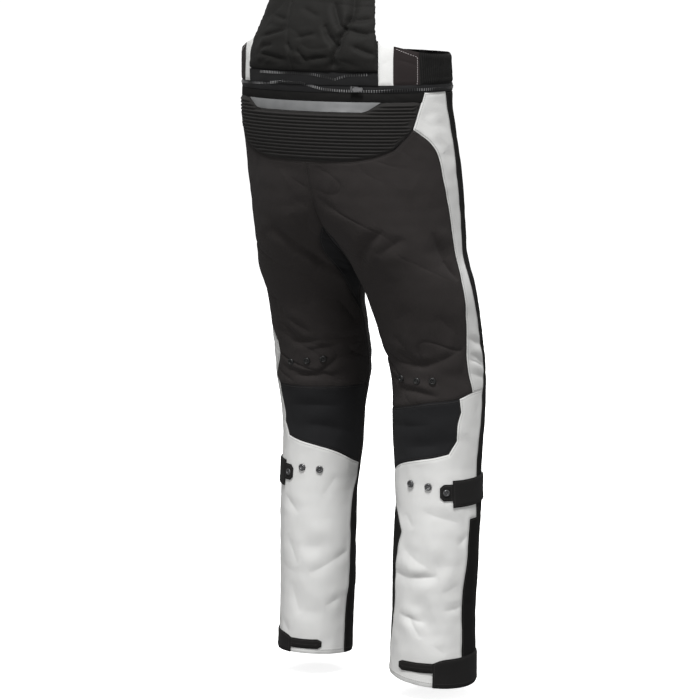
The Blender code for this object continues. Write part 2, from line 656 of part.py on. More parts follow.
def side_pieces(name, cloth):
    """Panels and laid-on pieces of one side."""
    side = cloth.side
    stripe_back, stripe_front = Curve(STRIPE_BACK), Curve(STRIPE_FRONT)
    centre = lambda height: centre_angle(side, height)
    stripe = [middle_of(stripe_back, stripe_front, h) for h in (-100, -740, -775)]
    gusset = [middle_of(Curve(GUSSET_EDGE), centre, -340)]
    calf_fields = [(90, -850), (95, -1040), (50, -1045), (30, -740), (60, -738)]
    front_fields = [(-60, -300)] + ([(-84, -120)] if side == LEFT else [])
    panels = [
        ("band_front", [(-65, -25)], DARK),
        ("band_panel", [(32, -20)], GREY_PANEL),
        ("band_wedge", [(45, -20)], WHITE),
        ("hip_panel", [(8, -90)], WHITE),
        ("side_stripe", stripe, DARK),
        ("thigh_back", [(90, -400)], BLACK),
        ("crotch_gusset", gusset, BLUE_BLACK),
        ("front_panel", front_fields, BLACK),
        ("knee_back", [(100, -630)], BLUE_BLACK),
        ("calf_panel", calf_fields, WHITE),
        ("inner_stripe", [(178, -900)], DARK),
        ("outer_gusset", [(6, -900), (6, -1045)], DARK),
    ]
    for piece, seeds, finish in panels:
        wall(f"{name}_{piece}", cloth.triangles(seeds), finish)
    elastic = cloth.triangles([(-8, -25)])
    laid_on = [
        ("heel_panel", [(50, -1045), (6, -1045)], DARK, 1.5),
        ("heel_strap", [(95, -1040)], DARK, 1.5),
        ("calf_band", [stripe[1], (30, -740)], DARK, 2.0),
        ("calf_tab", [(60, -738)], DARK, CALF_TAB_THICK),
    ]
    for piece, seeds, finish, thick in laid_on:
        wall(f"{name}_{piece}", cloth.triangles(seeds), finish, lift=SEAM_GAP, thick=thick)
    elastic_band(f"{name}_band_elastic", elastic)


def elastic_band(name, triangles):
    """Side elastic with upright ribs in its outer face."""
    xs = [unrolled(p).x for tri in triangles for p in tri]
    low, high = min(xs), max(xs)
    pitch = (high - low) / ELASTIC_RIBS
    columns = [low + pitch * i / 2 for i in range(1, 2 * ELASTIC_RIBS)]
    rows = [-40.0, -26.0, -12.0]
    fine = fine_sheet(triangles, rows, columns, (1.0, 0.25), 1.4)
    raised = {round(x, 2) for x in columns[0::2]}

    def relief(place):
        return ELASTIC_RIB_HEIGHT if round(unrolled(place).x, 2) in raised else 0.0

    wall(name, fine, DARK, inner=triangles, relief=relief)


def ribbed_panel(triangles):
    """Stretch panel over the seat: level ribs raised in its outer face, sewn flat at its edges."""
    first = YOKE_BOTTOM - RIB_PITCH
    count = int((first - RIBS_BOTTOM) / RIB_PITCH) + 1
    rows = []
    for i in range(count):
        crest = first - i * RIB_PITCH
        rows += [crest + 0.2 * RIB_PITCH, crest - 0.2 * RIB_PITCH, crest - 0.5 * RIB_PITCH]
    crests = {round(y, 1) for i, y in enumerate(rows) if i % 3 != 2}
    columns = [9.0 * i for i in range(-11, 12)]
    fine = fine_sheet(triangles, rows, columns, (0.32, 1.0), RIB_FADE * 0.4)
    rim = rim_distance(triangles)

    def relief(place):
        on_crest = round(place[2], 1) in crests
        return RIB_HEIGHT * smoothstep(rim(place) / RIB_FADE) if on_crest else 0.0

    wall("ribbed_panel", fine, BLACK, inner=triangles, relief=relief)


def flap(triangles):
    """Padded back flap, thick in its middle, with a sewn channel and its largest wrinkles."""
    rim = rim_distance(triangles)
    wrinkles = [(-30, 150, -36, 60, 7, 3.5), (-36, 60, -12, -20, 7, 3.0), (66, 160, 62, -10, 5, 3.0),
                (-60, 96, 40, 104, 6, 2.0), (20, 40, 58, 30, 6, 2.0), (-58, 20, -10, 34, 6, 1.8)]

    def relief(place):
        swelling = (FLAP_THICK - FLAP_EDGE) * smoothstep(rim(place) / 26.0)
        for ax, ay, bx, by, width, depth in wrinkles:
            distance = nearest(unrolled(place), Vector((ax, ay)), Vector((bx, by)))[0]
            swelling -= depth * math.exp(-(distance / width) ** 2) * smoothstep(rim(place) / 20.0)
        return swelling

    wall("back_flap", triangles, GREY_PANEL, lift=SEAM_GAP, thick=FLAP_EDGE, relief=relief)


def both(cloths, seeds):
    return [tri for cloth in cloths.values() for tri in cloth.triangles(seeds)]


def frame_at(side, angle, height, normal):
    """Frame on the surface: Z along the normal, Y up along the surface, X round it."""
    up = (surface(side, angle, height + 3) - surface(side, angle, height - 3)).normalized()
    right = up.cross(normal).normalized()
    turn = Matrix((right, normal.cross(right), normal)).transposed().to_4x4()
    turn.translation = surface(side, angle, height)
    return turn


def disc(name, seat, lift, radius, height, finish, sides=12):
    """Round fastener with a bevelled top, its flat back turned to the cloth."""
    shape = bmesh.new()
    bmesh.ops.create_cone(shape, cap_ends=True, segments=sides, radius1=radius * MM, radius2=radius * MM,
                          depth=height * MM)
    top = [e for e in shape.edges if all(v.co.z > 0 for v in e.verts) and len(e.link_faces) == 2]
    bmesh.ops.bevel(shape, geom=top, offset=0.3 * height * MM, segments=1, affect="EDGES")
    bmesh.ops.translate(shape, verts=shape.verts, vec=(0, 0, (lift + height / 2) * MM))
    bmesh.ops.transform(shape, matrix=seat, verts=shape.verts)
    bmesh.ops.recalc_face_normals(shape, faces=shape.faces)
    obj = add_object(name, [], [], finish)
    shape.to_mesh(obj.data)
    shape.free()
    return obj


def fasteners(name, cloth):
    """Snaps of one leg, each on its panel or on the tab, and the button of the left front."""
    for snap, angle, height in SNAPS[cloth.side]:
        lift = SNAP_CLEAR + (SEAM_GAP + CALF_TAB_THICK if snap == "tab_snap" else 0.0)
        finish = ZIP_BLACK if "thigh" in snap else METAL
        seat = cloth.seat(angle, height, SNAP_RADIUS)
        disc(f"{name}_{snap}", seat, lift, SNAP_RADIUS, SNAP_HEIGHT, finish)
    if cloth.side == LEFT:
        seat = cloth.seat(*BUTTON_PLACE, BUTTON_RADIUS)
        disc("waist_button", seat, SNAP_CLEAR, BUTTON_RADIUS, BUTTON_HEIGHT, METAL, sides=16)


def block(size, centre, matrix):
    """Box as a temporary object, in the slider's own frame."""
    bpy.ops.mesh.primitive_cube_add(size=1.0)
    obj = bpy.context.object
    obj.data.transform(Matrix.Diagonal((*[s * MM for s in size], 1.0)))
    obj.data.transform(Matrix.Translation(Vector(centre) * MM))
    obj.data.transform(matrix)
    return obj


def round_bar(radius, length, centre, matrix, sides=12):
    """Upright round bar as a temporary object: its axis is the frame's Y."""
    bpy.ops.mesh.primitive_cylinder_add(vertices=sides, radius=radius * MM, depth=length * MM)
    obj = bpy.context.object
    obj.data.transform(Matrix.Rotation(math.radians(90), 4, "X"))
    obj.data.transform(Matrix.Translation(Vector(centre) * MM))
    obj.data.transform(matrix)
    return obj


def combine(name, base, others, finish):
    """Joins or cuts the base with (operation, object) pairs, and gives it its name and finish."""
    for operation, other in others:
        change = base.modifiers.new(operation, "BOOLEAN")
        change.operation = operation
        change.object = other
        bpy.context.view_layer.objects.active = base
        bpy.ops.object.modifier_apply(modifier=change.name)
        bpy.data.objects.remove(other)
    base.name = base.data.name = name
    colour, roughness, metallic = finish
    base.data.materials.clear()
    base.data.materials.append(material(name, colour, roughness, metallic))
    return base


def slider_frame():
    """Frame at the slider with an upright Y axis, so that the pull's pin stands plumb."""
    side, angle, height = SLIDER_PLACE
    normal = outward(side, angle, height)
    normal.z = 0.0
    normal.normalize()
    up = Vector((0, 0, 1))
    right = up.cross(normal).normalized()
    turn = Matrix((right, up, normal)).transposed().to_4x4()
    turn.translation = surface(side, angle, height)
    return turn


def zip_slider_and_pull():
    """Slider of the waist zip with two lugs and an upright pin, and the pull tab that turns on the pin."""
    frame = slider_frame()
    top = SLIDER_CLEAR + SLIDER_DEEP
    pin_x = PIN_FROM_END - SLIDER_LONG / 2
    pin_out = top + EYE_RADIUS + EYE_WALL + SEAM_GAP
    lug_low, lug_high = top - LUG_RIM, pin_out + PIN_RADIUS + LUG_RIM
    lug_size = (LUG_LONG, LUG_THICK, lug_high - lug_low)
    body = block((SLIDER_LONG, SLIDER_TALL, SLIDER_DEEP), (0, 0, top - SLIDER_DEEP / 2), frame)
    parts = []
    for end in (-1, 1):
        lug_at = (pin_x, end * (LUG_GAP + LUG_THICK) / 2, (lug_low + lug_high) / 2)
        parts.append(("UNION", block(lug_size, lug_at, frame)))
    pin = round_bar(PIN_RADIUS, LUG_GAP + LUG_THICK, (pin_x, 0, pin_out), frame)
    parts.append(("UNION", pin))
    combine("zip_slider", body, parts, METAL)
    zip_pull(frame @ Matrix.Translation(Vector((pin_x, 0, pin_out)) * MM))


def zip_pull(frame):
    """Pull tab: an eye round the pin and a flat plate that widens past the lugs, in one piece."""
    shape = bmesh.new()
    half = PULL_THICK / 2
    eye = EYE_RADIUS + EYE_WALL
    start = math.asin(half / eye)
    tall = LUG_GAP - 2 * SEAM_GAP
    rings = []
    for radius in (EYE_RADIUS, eye):
        turns = [start + i * (2 * math.pi - 2 * start) / EYE_SIDES for i in range(EYE_SIDES + 1)]
        rings.append([shape.verts.new((radius * math.cos(t), -tall / 2, radius * math.sin(t))) for t in turns])
    inner, outer = rings
    for i in range(-1, EYE_SIDES):
        shape.faces.new((inner[i], inner[i + 1], outer[i + 1], outer[i]))
    low, high = outer[-1], outer[0]
    for x in (PULL_NECK, PULL_NECK + 1.2, PULL_LONG - 1.0, PULL_LONG):
        next_low, next_high = (shape.verts.new((x, -tall / 2, z)) for z in (-half, half))
        shape.faces.new((low, next_low, next_high, high))
        low, high = next_low, next_high
    made = bmesh.ops.extrude_face_region(shape, geom=shape.faces[:])
    raised = [v for v in made["geom"] if isinstance(v, bmesh.types.BMVert)]
    bmesh.ops.translate(shape, verts=raised, vec=(0, tall, 0))
    for vert in shape.verts:
        if PULL_NECK < vert.co.x < PULL_LONG:
            vert.co.y *= PULL_TALL / tall
    bmesh.ops.recalc_face_normals(shape, faces=shape.faces)
    bmesh.ops.transform(shape, matrix=frame @ Matrix.Diagonal((MM, MM, MM, 1)), verts=shape.verts)
    obj = add_object("zip_pull", [], [], METAL)
    shape.to_mesh(obj.data)
    shape.free()


def main():
    for obj in list(bpy.data.objects):
        bpy.data.objects.remove(obj)
    cloths = {name: Cloth(side) for name, side in SIDES.items()}
    for name, cloth in cloths.items():
        side_pieces(name, cloth)
        fasteners(name, cloth)
    wall("band_back", both(cloths, [(70, 0), (70, -38)]), DARK)
    wall("waist_zip_tape", both(cloths, [(0, -54)]), ZIP_BLACK)
    wall("yoke_band", both(cloths, [(50, -67)]), BLACK)
    wall("reflective_strip", both(cloths, [(75, -83)]), REFLECTIVE)
    ribbed_panel(both(cloths, [(60, -130)]))
    wall("flap_zip_tape", both(cloths, [(70, -38)]), ZIP_BLACK, lift=SEAM_GAP, thick=1.4)
    flap(both(cloths, [(70, 0), (70, 60)]))
    wall("fly", cloths["left"].triangles([(-84, -120)]), BLACK, lift=SEAM_GAP, thick=1.6)
    zip_slider_and_pull()


main()
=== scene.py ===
import math
from collections import defaultdict, namedtuple
from itertools import product

import bmesh
import bpy
import numpy as np
from mathutils import Matrix, Vector, kdtree
from mathutils.bvhtree import BVHTree


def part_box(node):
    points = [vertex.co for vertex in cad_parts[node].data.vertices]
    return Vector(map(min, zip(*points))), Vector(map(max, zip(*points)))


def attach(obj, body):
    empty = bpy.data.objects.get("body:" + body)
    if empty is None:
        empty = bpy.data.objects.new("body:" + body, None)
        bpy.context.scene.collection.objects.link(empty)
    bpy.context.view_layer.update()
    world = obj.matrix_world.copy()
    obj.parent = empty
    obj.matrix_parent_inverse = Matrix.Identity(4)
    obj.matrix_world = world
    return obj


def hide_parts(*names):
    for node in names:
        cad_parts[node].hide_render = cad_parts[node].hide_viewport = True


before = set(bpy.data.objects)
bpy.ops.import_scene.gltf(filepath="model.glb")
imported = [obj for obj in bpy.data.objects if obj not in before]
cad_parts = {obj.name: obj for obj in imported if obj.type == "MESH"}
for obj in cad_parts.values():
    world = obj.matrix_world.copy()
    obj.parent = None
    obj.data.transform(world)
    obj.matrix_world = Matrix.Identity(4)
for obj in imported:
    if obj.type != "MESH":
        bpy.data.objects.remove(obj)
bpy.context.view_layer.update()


# Camera
# Behind the trousers and to the wearer's right, a little above the middle, with a long lens as for a
# catalogue.
CAMERA_AIM = Vector((0.0, -0.015, -0.503))
CAMERA_AZIMUTH, CAMERA_ELEVATION, CAMERA_DISTANCE = math.radians(213), math.radians(10), 4.0
away = Vector((math.sin(CAMERA_AZIMUTH) * math.cos(CAMERA_ELEVATION),
               -math.cos(CAMERA_AZIMUTH) * math.cos(CAMERA_ELEVATION), math.sin(CAMERA_ELEVATION)))
bpy.ops.object.camera_add(location=CAMERA_AIM + away * CAMERA_DISTANCE)
camera = bpy.context.object
camera.rotation_mode = "QUATERNION"
camera.rotation_quaternion = (-away).to_track_quat("-Z", "Y")
camera.data.sensor_width, camera.data.lens = 36.0, 121.7
bpy.context.scene.camera = camera


# Back thigh panels
# The largest pieces of black woven textile, from the ribs over the seat down to the back of the knee. Each is
# cut as one panel, sewn in all round, and falls in soft folds under the seat and above the knee.
MM = 0.001
RIGHT, LEFT = -1, 1

# The middle of the left leg at each height, and how far the cloth is from it
Form = namedtuple("Form", "height centre_x centre_y reach")
FORM = [
    Form(-1090, 121, -89, 72), Form(-940, 120, -95, 70), Form(-860, 121, -99, 72), Form(-780, 122, -104, 72),
    Form(-700, 118, -109, 74), Form(-620, 117, -111, 78), Form(-560, 118, -113, 82), Form(-480, 112, -95, 86),
    Form(-410, 107, -72, 92), Form(-370, 99, -60, 98), Form(-345, 92, -54, 101), Form(-310, 75, -46, 116),
    Form(-250, 42, -38, 142), Form(-190, 16, -26, 158), Form(-130, 4, -12, 163), Form(-54, 0, -3, 159),
    Form(0, 0, 0, 156), Form(90, 0, -31, 149), Form(180, 0, -58, 141),
]

# A crease: from and to on the cloth, its width and depth, and how much its upper side (or its lower, if
# negative) bulges beside the trough
Crease = namedtuple("Crease", "side from_angle from_height to_angle to_height width depth bulge")
CREASES = [
    # left seat and thigh, seen from behind
    Crease(LEFT, 74, -288, 110, -332, 8, 5.0, -0.7), Crease(LEFT, 104, -326, 134, -356, 7, 5.5, -0.8),
    Crease(LEFT, 128, -350, 158, -372, 7, 4.5, -0.6), Crease(LEFT, 92, -262, 108, -288, 9, 1.8, 0.5),
    Crease(LEFT, 62, -300, 80, -340, 12, 2.4, 0.5), Crease(LEFT, 75, -436, 87, -482, 8, 2.6, 0.6),
    Crease(LEFT, 72, -462, 96, -490, 6, 3.6, 0.8), Crease(LEFT, 82, -452, 114, -484, 6, 3.2, 0.8),
    Crease(LEFT, 84, -499, 122, -494, 6, 3.8, -0.8), Crease(LEFT, 116, -494, 178, -490, 7, 3.2, -0.6),
    Crease(LEFT, 106, -513, 148, -502, 6, 3.0, 0.7), Crease(LEFT, 117, -557, 142, -531, 6, 3.4, 0.8),
    Crease(LEFT, 138, -533, 182, -509, 7, 3.2, 0.7), Crease(LEFT, 84, -558, 142, -561, 6, 3.4, 0.8),
    Crease(LEFT, 66, -539, 120, -565, 5, 2.6, 0.8), Crease(LEFT, 60, -410, 72, -452, 12, 2.2, 0.5),
    Crease(LEFT, 150, -420, 176, -470, 12, 3.0, 0.4), Crease(LEFT, 96, -372, 140, -400, 16, 1.6, 0.4),
    # right seat and thigh
    Crease(RIGHT, 62, -282, 92, -318, 7, 4.2, 0.8), Crease(RIGHT, 84, -310, 116, -348, 7, 5.2, 0.7),
    Crease(RIGHT, 50, -295, 80, -324, 8, 3.0, 0.7), Crease(RIGHT, 24, -288, 20, -346, 9, 3.2, 0.5),
    Crease(RIGHT, 21, -338, 11, -372, 7, 3.8, 0.7), Crease(RIGHT, 35, -216, 42, -300, 18, 2.0, 0.5),
    Crease(RIGHT, 103, -494, 76, -526, 8, 3.4, 0.8), Crease(RIGHT, 80, -525, 53, -513, 7, 3.0, 0.7),
    Crease(RIGHT, 57, -515, 28, -499, 8, 2.8, 0.6), Crease(RIGHT, 115, -561, 60, -575, 6, 3.4, 0.9),
    Crease(RIGHT, 101, -466, 86, -502, 9, 2.4, 0.6), Crease(RIGHT, 46, -430, 30, -462, 14, 1.8, 0.4),
    Crease(RIGHT, 132, -540, 104, -552, 6, 2.6, 0.7), Crease(RIGHT, 70, -420, 96, -440, 16, 1.4, 0.4),
    # white side of the right leg, and the outer side of the left
    Crease(RIGHT, 17, -474, -26, -501, 7, 2.6, 0.8), Crease(RIGHT, 12, -504, -30, -534, 7, 3.0, 0.8),
    Crease(RIGHT, 20, -536, -22, -552, 7, 2.0, 0.6), Crease(RIGHT, 24, -638, 7, -678, 10, 2.2, 0.5),
    Crease(LEFT, 26, -480, -16, -500, 8, 2.8, 0.8), Crease(LEFT, 30, -510, -14, -528, 7, 2.6, 0.7),
    Crease(LEFT, 14, -300, -6, -350, 12, 2.4, 0.5), Crease(LEFT, 10, -630, 30, -664, 10, 2.0, 0.5),
    # right calf
    Crease(RIGHT, 130, -880, 92, -884, 11, 4.2, 0.9), Crease(RIGHT, 98, -884, 55, -875, 8, 5.0, 1.0),
    Crease(RIGHT, 108, -836, 58, -868, 10, 2.4, -0.6), Crease(RIGHT, 111, -944, 69, -959, 8, 4.2, 0.8),
    Crease(RIGHT, 92, -948, 74, -988, 6, 3.4, 0.8), Crease(RIGHT, 80, -765, 27, -787, 10, 2.8, 0.7),
    Crease(RIGHT, 31, -828, 14, -808, 7, 2.4, 0.6), Crease(RIGHT, 47, -935, 16, -931, 8, 2.6, 0.7),
    Crease(RIGHT, 106, -774, 90, -798, 9, 2.2, 0.6), Crease(RIGHT, 52, -905, 26, -890, 12, 1.8, 0.5),
    Crease(RIGHT, 62, -1000, 44, -1020, 9, 1.8, 0.5), Crease(RIGHT, 120, -1000, 132, -1040, 10, 1.8, 0.4),
    # left calf
    Crease(LEFT, 67, -774, 94, -806, 9, 3.0, 0.7), Crease(LEFT, 110, -911, 144, -887, 10, 3.0, 0.7),
    Crease(LEFT, 138, -890, 174, -873, 10, 2.8, 0.6), Crease(LEFT, 74, -844, 94, -898, 11, 3.0, 0.5),
    Crease(LEFT, 135, -969, 160, -957, 9, 2.4, 0.6), Crease(LEFT, 150, -740, 128, -772, 12, 2.2, 0.5),
    Crease(LEFT, 82, -930, 96, -986, 12, 2.2, 0.5), Crease(LEFT, 64, -1000, 76, -1024, 8, 2.0, 0.6),
    # backs of the knees
    Crease(RIGHT, 66, -622, 132, -636, 9, 2.2, 0.6), Crease(RIGHT, 58, -655, 108, -668, 8, 1.8, 0.5),
    Crease(LEFT, 74, -612, 150, -622, 9, 2.2, 0.6), Crease(LEFT, 92, -648, 168, -668, 8, 1.8, 0.5),
    # front: under the fly, across the lap, at the knees and above the hems
    Crease(LEFT, -56, -262, -112, -330, 12, 5.0, 0.8), Crease(RIGHT, -54, -270, -108, -336, 12, 4.6, 0.8),
    Crease(LEFT, -84, -238, -124, -300, 9, 3.4, 0.6), Crease(RIGHT, -86, -244, -122, -296, 9, 3.6, 0.6),
    Crease(LEFT, -96, -352, -166, -392, 10, 4.2, 0.8), Crease(RIGHT, -92, -346, -160, -384, 10, 4.4, 0.8),
    Crease(LEFT, -34, -540, -92, -566, 9, 3.4, 0.8), Crease(RIGHT, -36, -534, -98, -558, 9, 3.2, 0.8),
    Crease(LEFT, -84, -570, -150, -548, 9, 3.2, 0.7), Crease(RIGHT, -80, -566, -152, -552, 9, 3.4, 0.7),
    Crease(LEFT, -60, -690, -130, -704, 10, 3.0, 0.7), Crease(RIGHT, -56, -700, -126, -690, 10, 3.0, 0.7),
    Crease(LEFT, -44, -836, -112, -872, 10, 3.2, 0.8), Crease(RIGHT, -40, -850, -104, -880, 10, 3.4, 0.8),
    Crease(LEFT, -130, -940, -76, -962, 10, 2.8, 0.7), Crease(RIGHT, -136, -930, -84, -956, 10, 2.8, 0.7),
    Crease(LEFT, -60, -1010, -110, -1030, 9, 2.2, 0.6), Crease(RIGHT, -64, -1012, -118, -1026, 9, 2.2, 0.6),
]


def on_form(points, front=False):
    """Side, angle and height of points on the cloth, and how far it is there from the leg's middle."""
    heights = points[:, 2] / MM
    side = np.where(points[:, 0] < 0, RIGHT, LEFT)
    rows = np.array(FORM, float)
    across, back, reach = (np.interp(heights, rows[:, 0], rows[:, i]) for i in (1, 2, 3))
    angle = np.degrees(np.arctan2(points[:, 1] / MM - back, points[:, 0] / MM * side - across))
    middle = -100 if front else 90
    return side, middle + (angle - middle + 180) % 360 - 180, heights, reach


def read(mesh, name):
    values = np.empty(len(mesh.vertices) * 3)
    mesh.vertices.foreach_get(name, values)
    return values.reshape(-1, 3)


def move_to(piece, points):
    piece.data.vertices.foreach_set("co", points.ravel())
    piece.data.update()


def select(piece):
    bpy.ops.object.select_all(action="DESELECT")
    piece.select_set(True)
    bpy.context.view_layer.objects.active = piece


def finish_with(piece, kind, **settings):
    """Adds a modifier to the active piece and applies it."""
    bpy.ops.object.modifier_add(type=kind)
    modifier = piece.modifiers[-1]
    for name, value in settings.items():
        setattr(modifier, name, value)
    bpy.ops.object.modifier_apply(modifier=modifier.name)


def merged_copy(node):
    """A CAD node's mesh as a new piece with its corners merged, left in edit mode."""
    piece = bpy.data.objects.new(node + "_cloth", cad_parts[node].data.copy())
    piece.data.materials.clear()
    bpy.context.scene.collection.objects.link(piece)
    select(piece)
    bpy.ops.object.mode_set(mode="EDIT")
    bpy.ops.mesh.select_all(action="SELECT")
    bpy.ops.mesh.remove_doubles(threshold=0.01 * MM)
    return piece


# Least share of a wall's faces that look away from the leg's middle, for them to be its outer face
FACING = 0.55
# Sharpest fold inside one face of a wall, and sharpest bend of its edge that isn't a cut corner
SHARPEST_FOLD, SHARPEST_BEND = math.radians(66), math.radians(28)


def skin(node, levels, outer=True):
    """A CAD wall's outer face (or its inner one) alone, as a new piece, made fine and smooth."""
    piece = merged_copy(node)
    shape = bmesh.from_edit_mesh(piece.data)
    rows = np.array(FORM, float)
    keep, left = set(), set(shape.faces)
    while left:
        start = left.pop()
        group, stack = {start}, [start]
        while stack:
            for edge in stack.pop().edges:
                if edge.is_manifold and edge.calc_face_angle() < SHARPEST_FOLD:
                    for face in edge.link_faces:
                        if face in left:
                            left.remove(face)
                            group.add(face)
                            stack.append(face)
        middles = np.array([face.calc_center_median() for face in group])
        normals = np.array([face.normal * face.calc_area() for face in group])
        side, _, heights, _ = on_form(middles)
        away = middles[:, :2] - np.stack([side * np.interp(heights, rows[:, 0], rows[:, 1]),
                                          np.interp(heights, rows[:, 0], rows[:, 2])], 1) * MM
        away /= np.linalg.norm(away, axis=1, keepdims=True)
        facing = (normals[:, :2] * away).sum() / np.linalg.norm(normals, axis=1).sum()
        if facing * (1 if outer else -1) > FACING:
            keep |= group
    for face in shape.faces:
        face.select_set(face not in keep)
    bmesh.update_edit_mesh(piece.data)
    bpy.ops.mesh.delete(type="FACE")
    if not outer:
        bpy.ops.mesh.select_all(action="SELECT")
        bpy.ops.mesh.flip_normals()
    shape = bmesh.from_edit_mesh(piece.data)
    corner = shape.verts.layers.float.get("crease_vert") or shape.verts.layers.float.new("crease_vert")
    for vert in shape.verts:
        ends = [edge.other_vert(vert).co - vert.co for edge in vert.link_edges if edge.is_boundary]
        if len(ends) == 2 and ends[0].angle(-ends[1]) > SHARPEST_BEND:
            vert[corner] = 1.0
    bmesh.update_edit_mesh(piece.data)
    bpy.ops.object.mode_set(mode="OBJECT")
    finish_with(piece, "SUBSURF", levels=levels, render_levels=levels, boundary_smooth="ALL")
    meet_at_seams(piece)
    return piece


# How far a sheet's edge moves outward, to meet the next sheet over the clearance of the CAD walls
SEAM_SPREAD = 0.2 * MM


def meet_at_seams(piece):
    """Moves the edge of an open sheet outward along the cloth."""
    shape = bmesh.new()
    shape.from_mesh(piece.data)
    ways = defaultdict(Vector)
    for edge in shape.edges:
        if edge.is_boundary:
            face = edge.link_faces[0]
            way = (edge.verts[1].co - edge.verts[0].co).cross(face.normal).normalized()
            if way.dot(face.calc_center_median() - edge.verts[0].co) > 0:
                way = -way
            for vert in edge.verts:
                ways[vert] = ways[vert] + way
    for vert, way in ways.items():
        vert.co += way.normalized() * SEAM_SPREAD
    shape.to_mesh(piece.data)
    shape.free()


def edge_tree(shape):
    """Tree of the points on the edge of an open sheet, to find how far a place is from it."""
    rim = [vert.co.copy() for vert in shape.verts if vert.is_boundary]
    tree = kdtree.KDTree(len(rim))
    for i, point in enumerate(rim):
        tree.insert(point, i)
    tree.balance()
    return tree


def rim_of(piece):
    """Distance of every point of an open sheet to its sewn edge, in millimetres."""
    shape = bmesh.new()
    shape.from_mesh(piece.data)
    tree = edge_tree(shape)
    shape.free()
    return np.array([tree.find(vert.co)[2] for vert in piece.data.vertices]) / MM


def soft_noise(points, scale, seed):
    """A smooth uneven field from -1 to 1 at an array of points, with about so many bumps to a metre."""
    lattice = np.random.default_rng(seed).uniform(-1, 1, (32, 32, 32))
    at = points * scale + seed * 3.7
    base = np.floor(at).astype(int)
    t = at - base
    t = t * t * (3 - 2 * t)
    value = np.zeros(len(points))
    for corner in product((0, 1), repeat=3):
        i, j, k = ((base + corner) % 32).T
        value += np.prod(np.where(corner, t, 1 - t), axis=1) * lattice[i, j, k]
    return value


def crease_relief(points, side, angle, heights, reach):
    """Millimetres that the creases move the cloth out: each a sharp trough with a swelling beside it."""
    per_degree = np.radians(reach)
    bend = 2.6 * soft_noise(points, 30, 1) + 6.0 * soft_noise(points, 9, 2)
    out = np.zeros(len(points))
    for crease in CREASES:
        run_x = (crease.to_angle - crease.from_angle) * per_degree
        run_y = crease.to_height - crease.from_height
        at_x, at_y = (angle - crease.from_angle) * per_degree, heights - crease.from_height
        long = np.hypot(run_x, run_y)
        reached = (at_x * run_x + at_y * run_y) / long**2
        along = np.clip(reached, 0, 1)
        aside = (at_y * run_x - at_x * run_y) / long * np.sign(run_x) + bend
        strength = np.sin(np.pi * along) ** 0.7 * np.exp(-((reached - along) * long / crease.width) ** 2)
        strength *= side == crease.side
        trough = np.exp(-(np.sqrt(aside**2 + 1.4) - 1.2) / (0.8 * crease.width))
        way = math.copysign(1.8 * crease.width, crease.bulge)
        ridge = np.exp(-((aside - way) / (1.35 * crease.width)) ** 2) * abs(crease.bulge)
        lip = np.exp(-((aside + way) / (1.35 * crease.width)) ** 2) * 0.3
        out += crease.depth * strength * (0.75 * ridge + lip - trough)
    return out


def wrinkle_relief(points, side, angle, heights, reach):
    """Small sharp wrinkles in patches, most of them across the leg and a little aslant."""
    round_leg = angle * np.radians(reach)
    slant = np.radians(24) * side
    along = (round_leg * np.cos(slant) - heights * np.sin(slant)) * 0.34
    across = round_leg * np.sin(slant) + heights * np.cos(slant)
    field = soft_noise(np.stack([along, across, 40.0 * side], 1) * MM, 34, 5)
    by_knee = np.exp(-(((heights + 515) / 55) ** 2)) + 0.6 * np.exp(-(((heights + 330) / 60) ** 2))
    patch = np.clip(1.5 * soft_noise(points, 8, 6) - 0.35 + 1.5 * by_knee, 0, 1.6)
    return patch * (1.0 - 2.3 * np.exp(-np.abs(field) / 0.12))


def press(piece, front=False, push=0.0, roll=0.9, slack=1.0, creased=1.0, wrinkled=1.0, pattern=None,
          spare=1.0):
    """Lays the creases, the soft unevenness of the cloth and the roll into its seams on a sheet. Spare is the
    share of its faces that it then keeps: the flat places need fewer."""
    points, normals = read(piece.data, "co"), read(piece.data, "normal")
    side, angle, heights, reach = on_form(points, front)
    small = soft_noise(points, 55, 4)
    rim = rim_of(piece)
    out = push + creased * crease_relief(points, side, angle, heights, reach) * np.clip(0.35 + rim / 14, 0, 1)
    out += wrinkled * wrinkle_relief(points, side, angle, heights, reach) * np.clip(rim / 12, 0, 1)
    out += slack * (1.5 * soft_noise(points, 13, 3) + 0.3 * small) + 0.6 * small * np.exp(-rim / 7)
    out += roll * (0.25 * np.exp(-((rim - 7) / 3) ** 2) - np.exp(-(rim / 2.6) ** 2))
    if pattern is not None:
        out += pattern(side, angle, heights, reach, rim)
    in_middle = np.abs(points[:, 0]) < 0.6 * MM
    points += normals * (out * MM)[:, None]
    points[in_middle, 0] = 0.0
    move_to(piece, points)
    if spare < 1.0:
        finish_with(piece, "DECIMATE", ratio=spare)
    return piece


def lay_map(piece, front=False):
    """The map that the weave follows: metres round the leg and metres up."""
    points = read(piece.data, "co")
    _, angle, _, reach = on_form(points, front)
    flat = np.stack([np.radians(angle) * reach * MM, points[:, 2]], 1)
    corners = np.empty(len(piece.data.loops), int)
    piece.data.loops.foreach_get("vertex_index", corners)
    layer = piece.data.uv_layers.new(name="cloth")
    layer.data.foreach_set("uv", flat[corners].ravel())


def standing(point, normal, along, lift=0.0):
    """Frame at a point of the cloth: X along, Z out of the cloth."""
    along = (along - normal * along.dot(normal)).normalized()
    matrix = Matrix((along, normal.cross(along), normal)).transposed().to_4x4()
    matrix.translation = point + normal * lift * MM
    return matrix


# Rows of topstitching: the step from stitch to stitch, and how far inside an edge or a hem they lie
STITCH_PITCH, STITCH_INSET, HEM_INSET = 3.7 * MM, 3.0 * MM, 8.0 * MM
HEM_HEIGHT, HEM_SLOPE = -1045.0 * MM, 0.6
STITCHES = defaultdict(list)


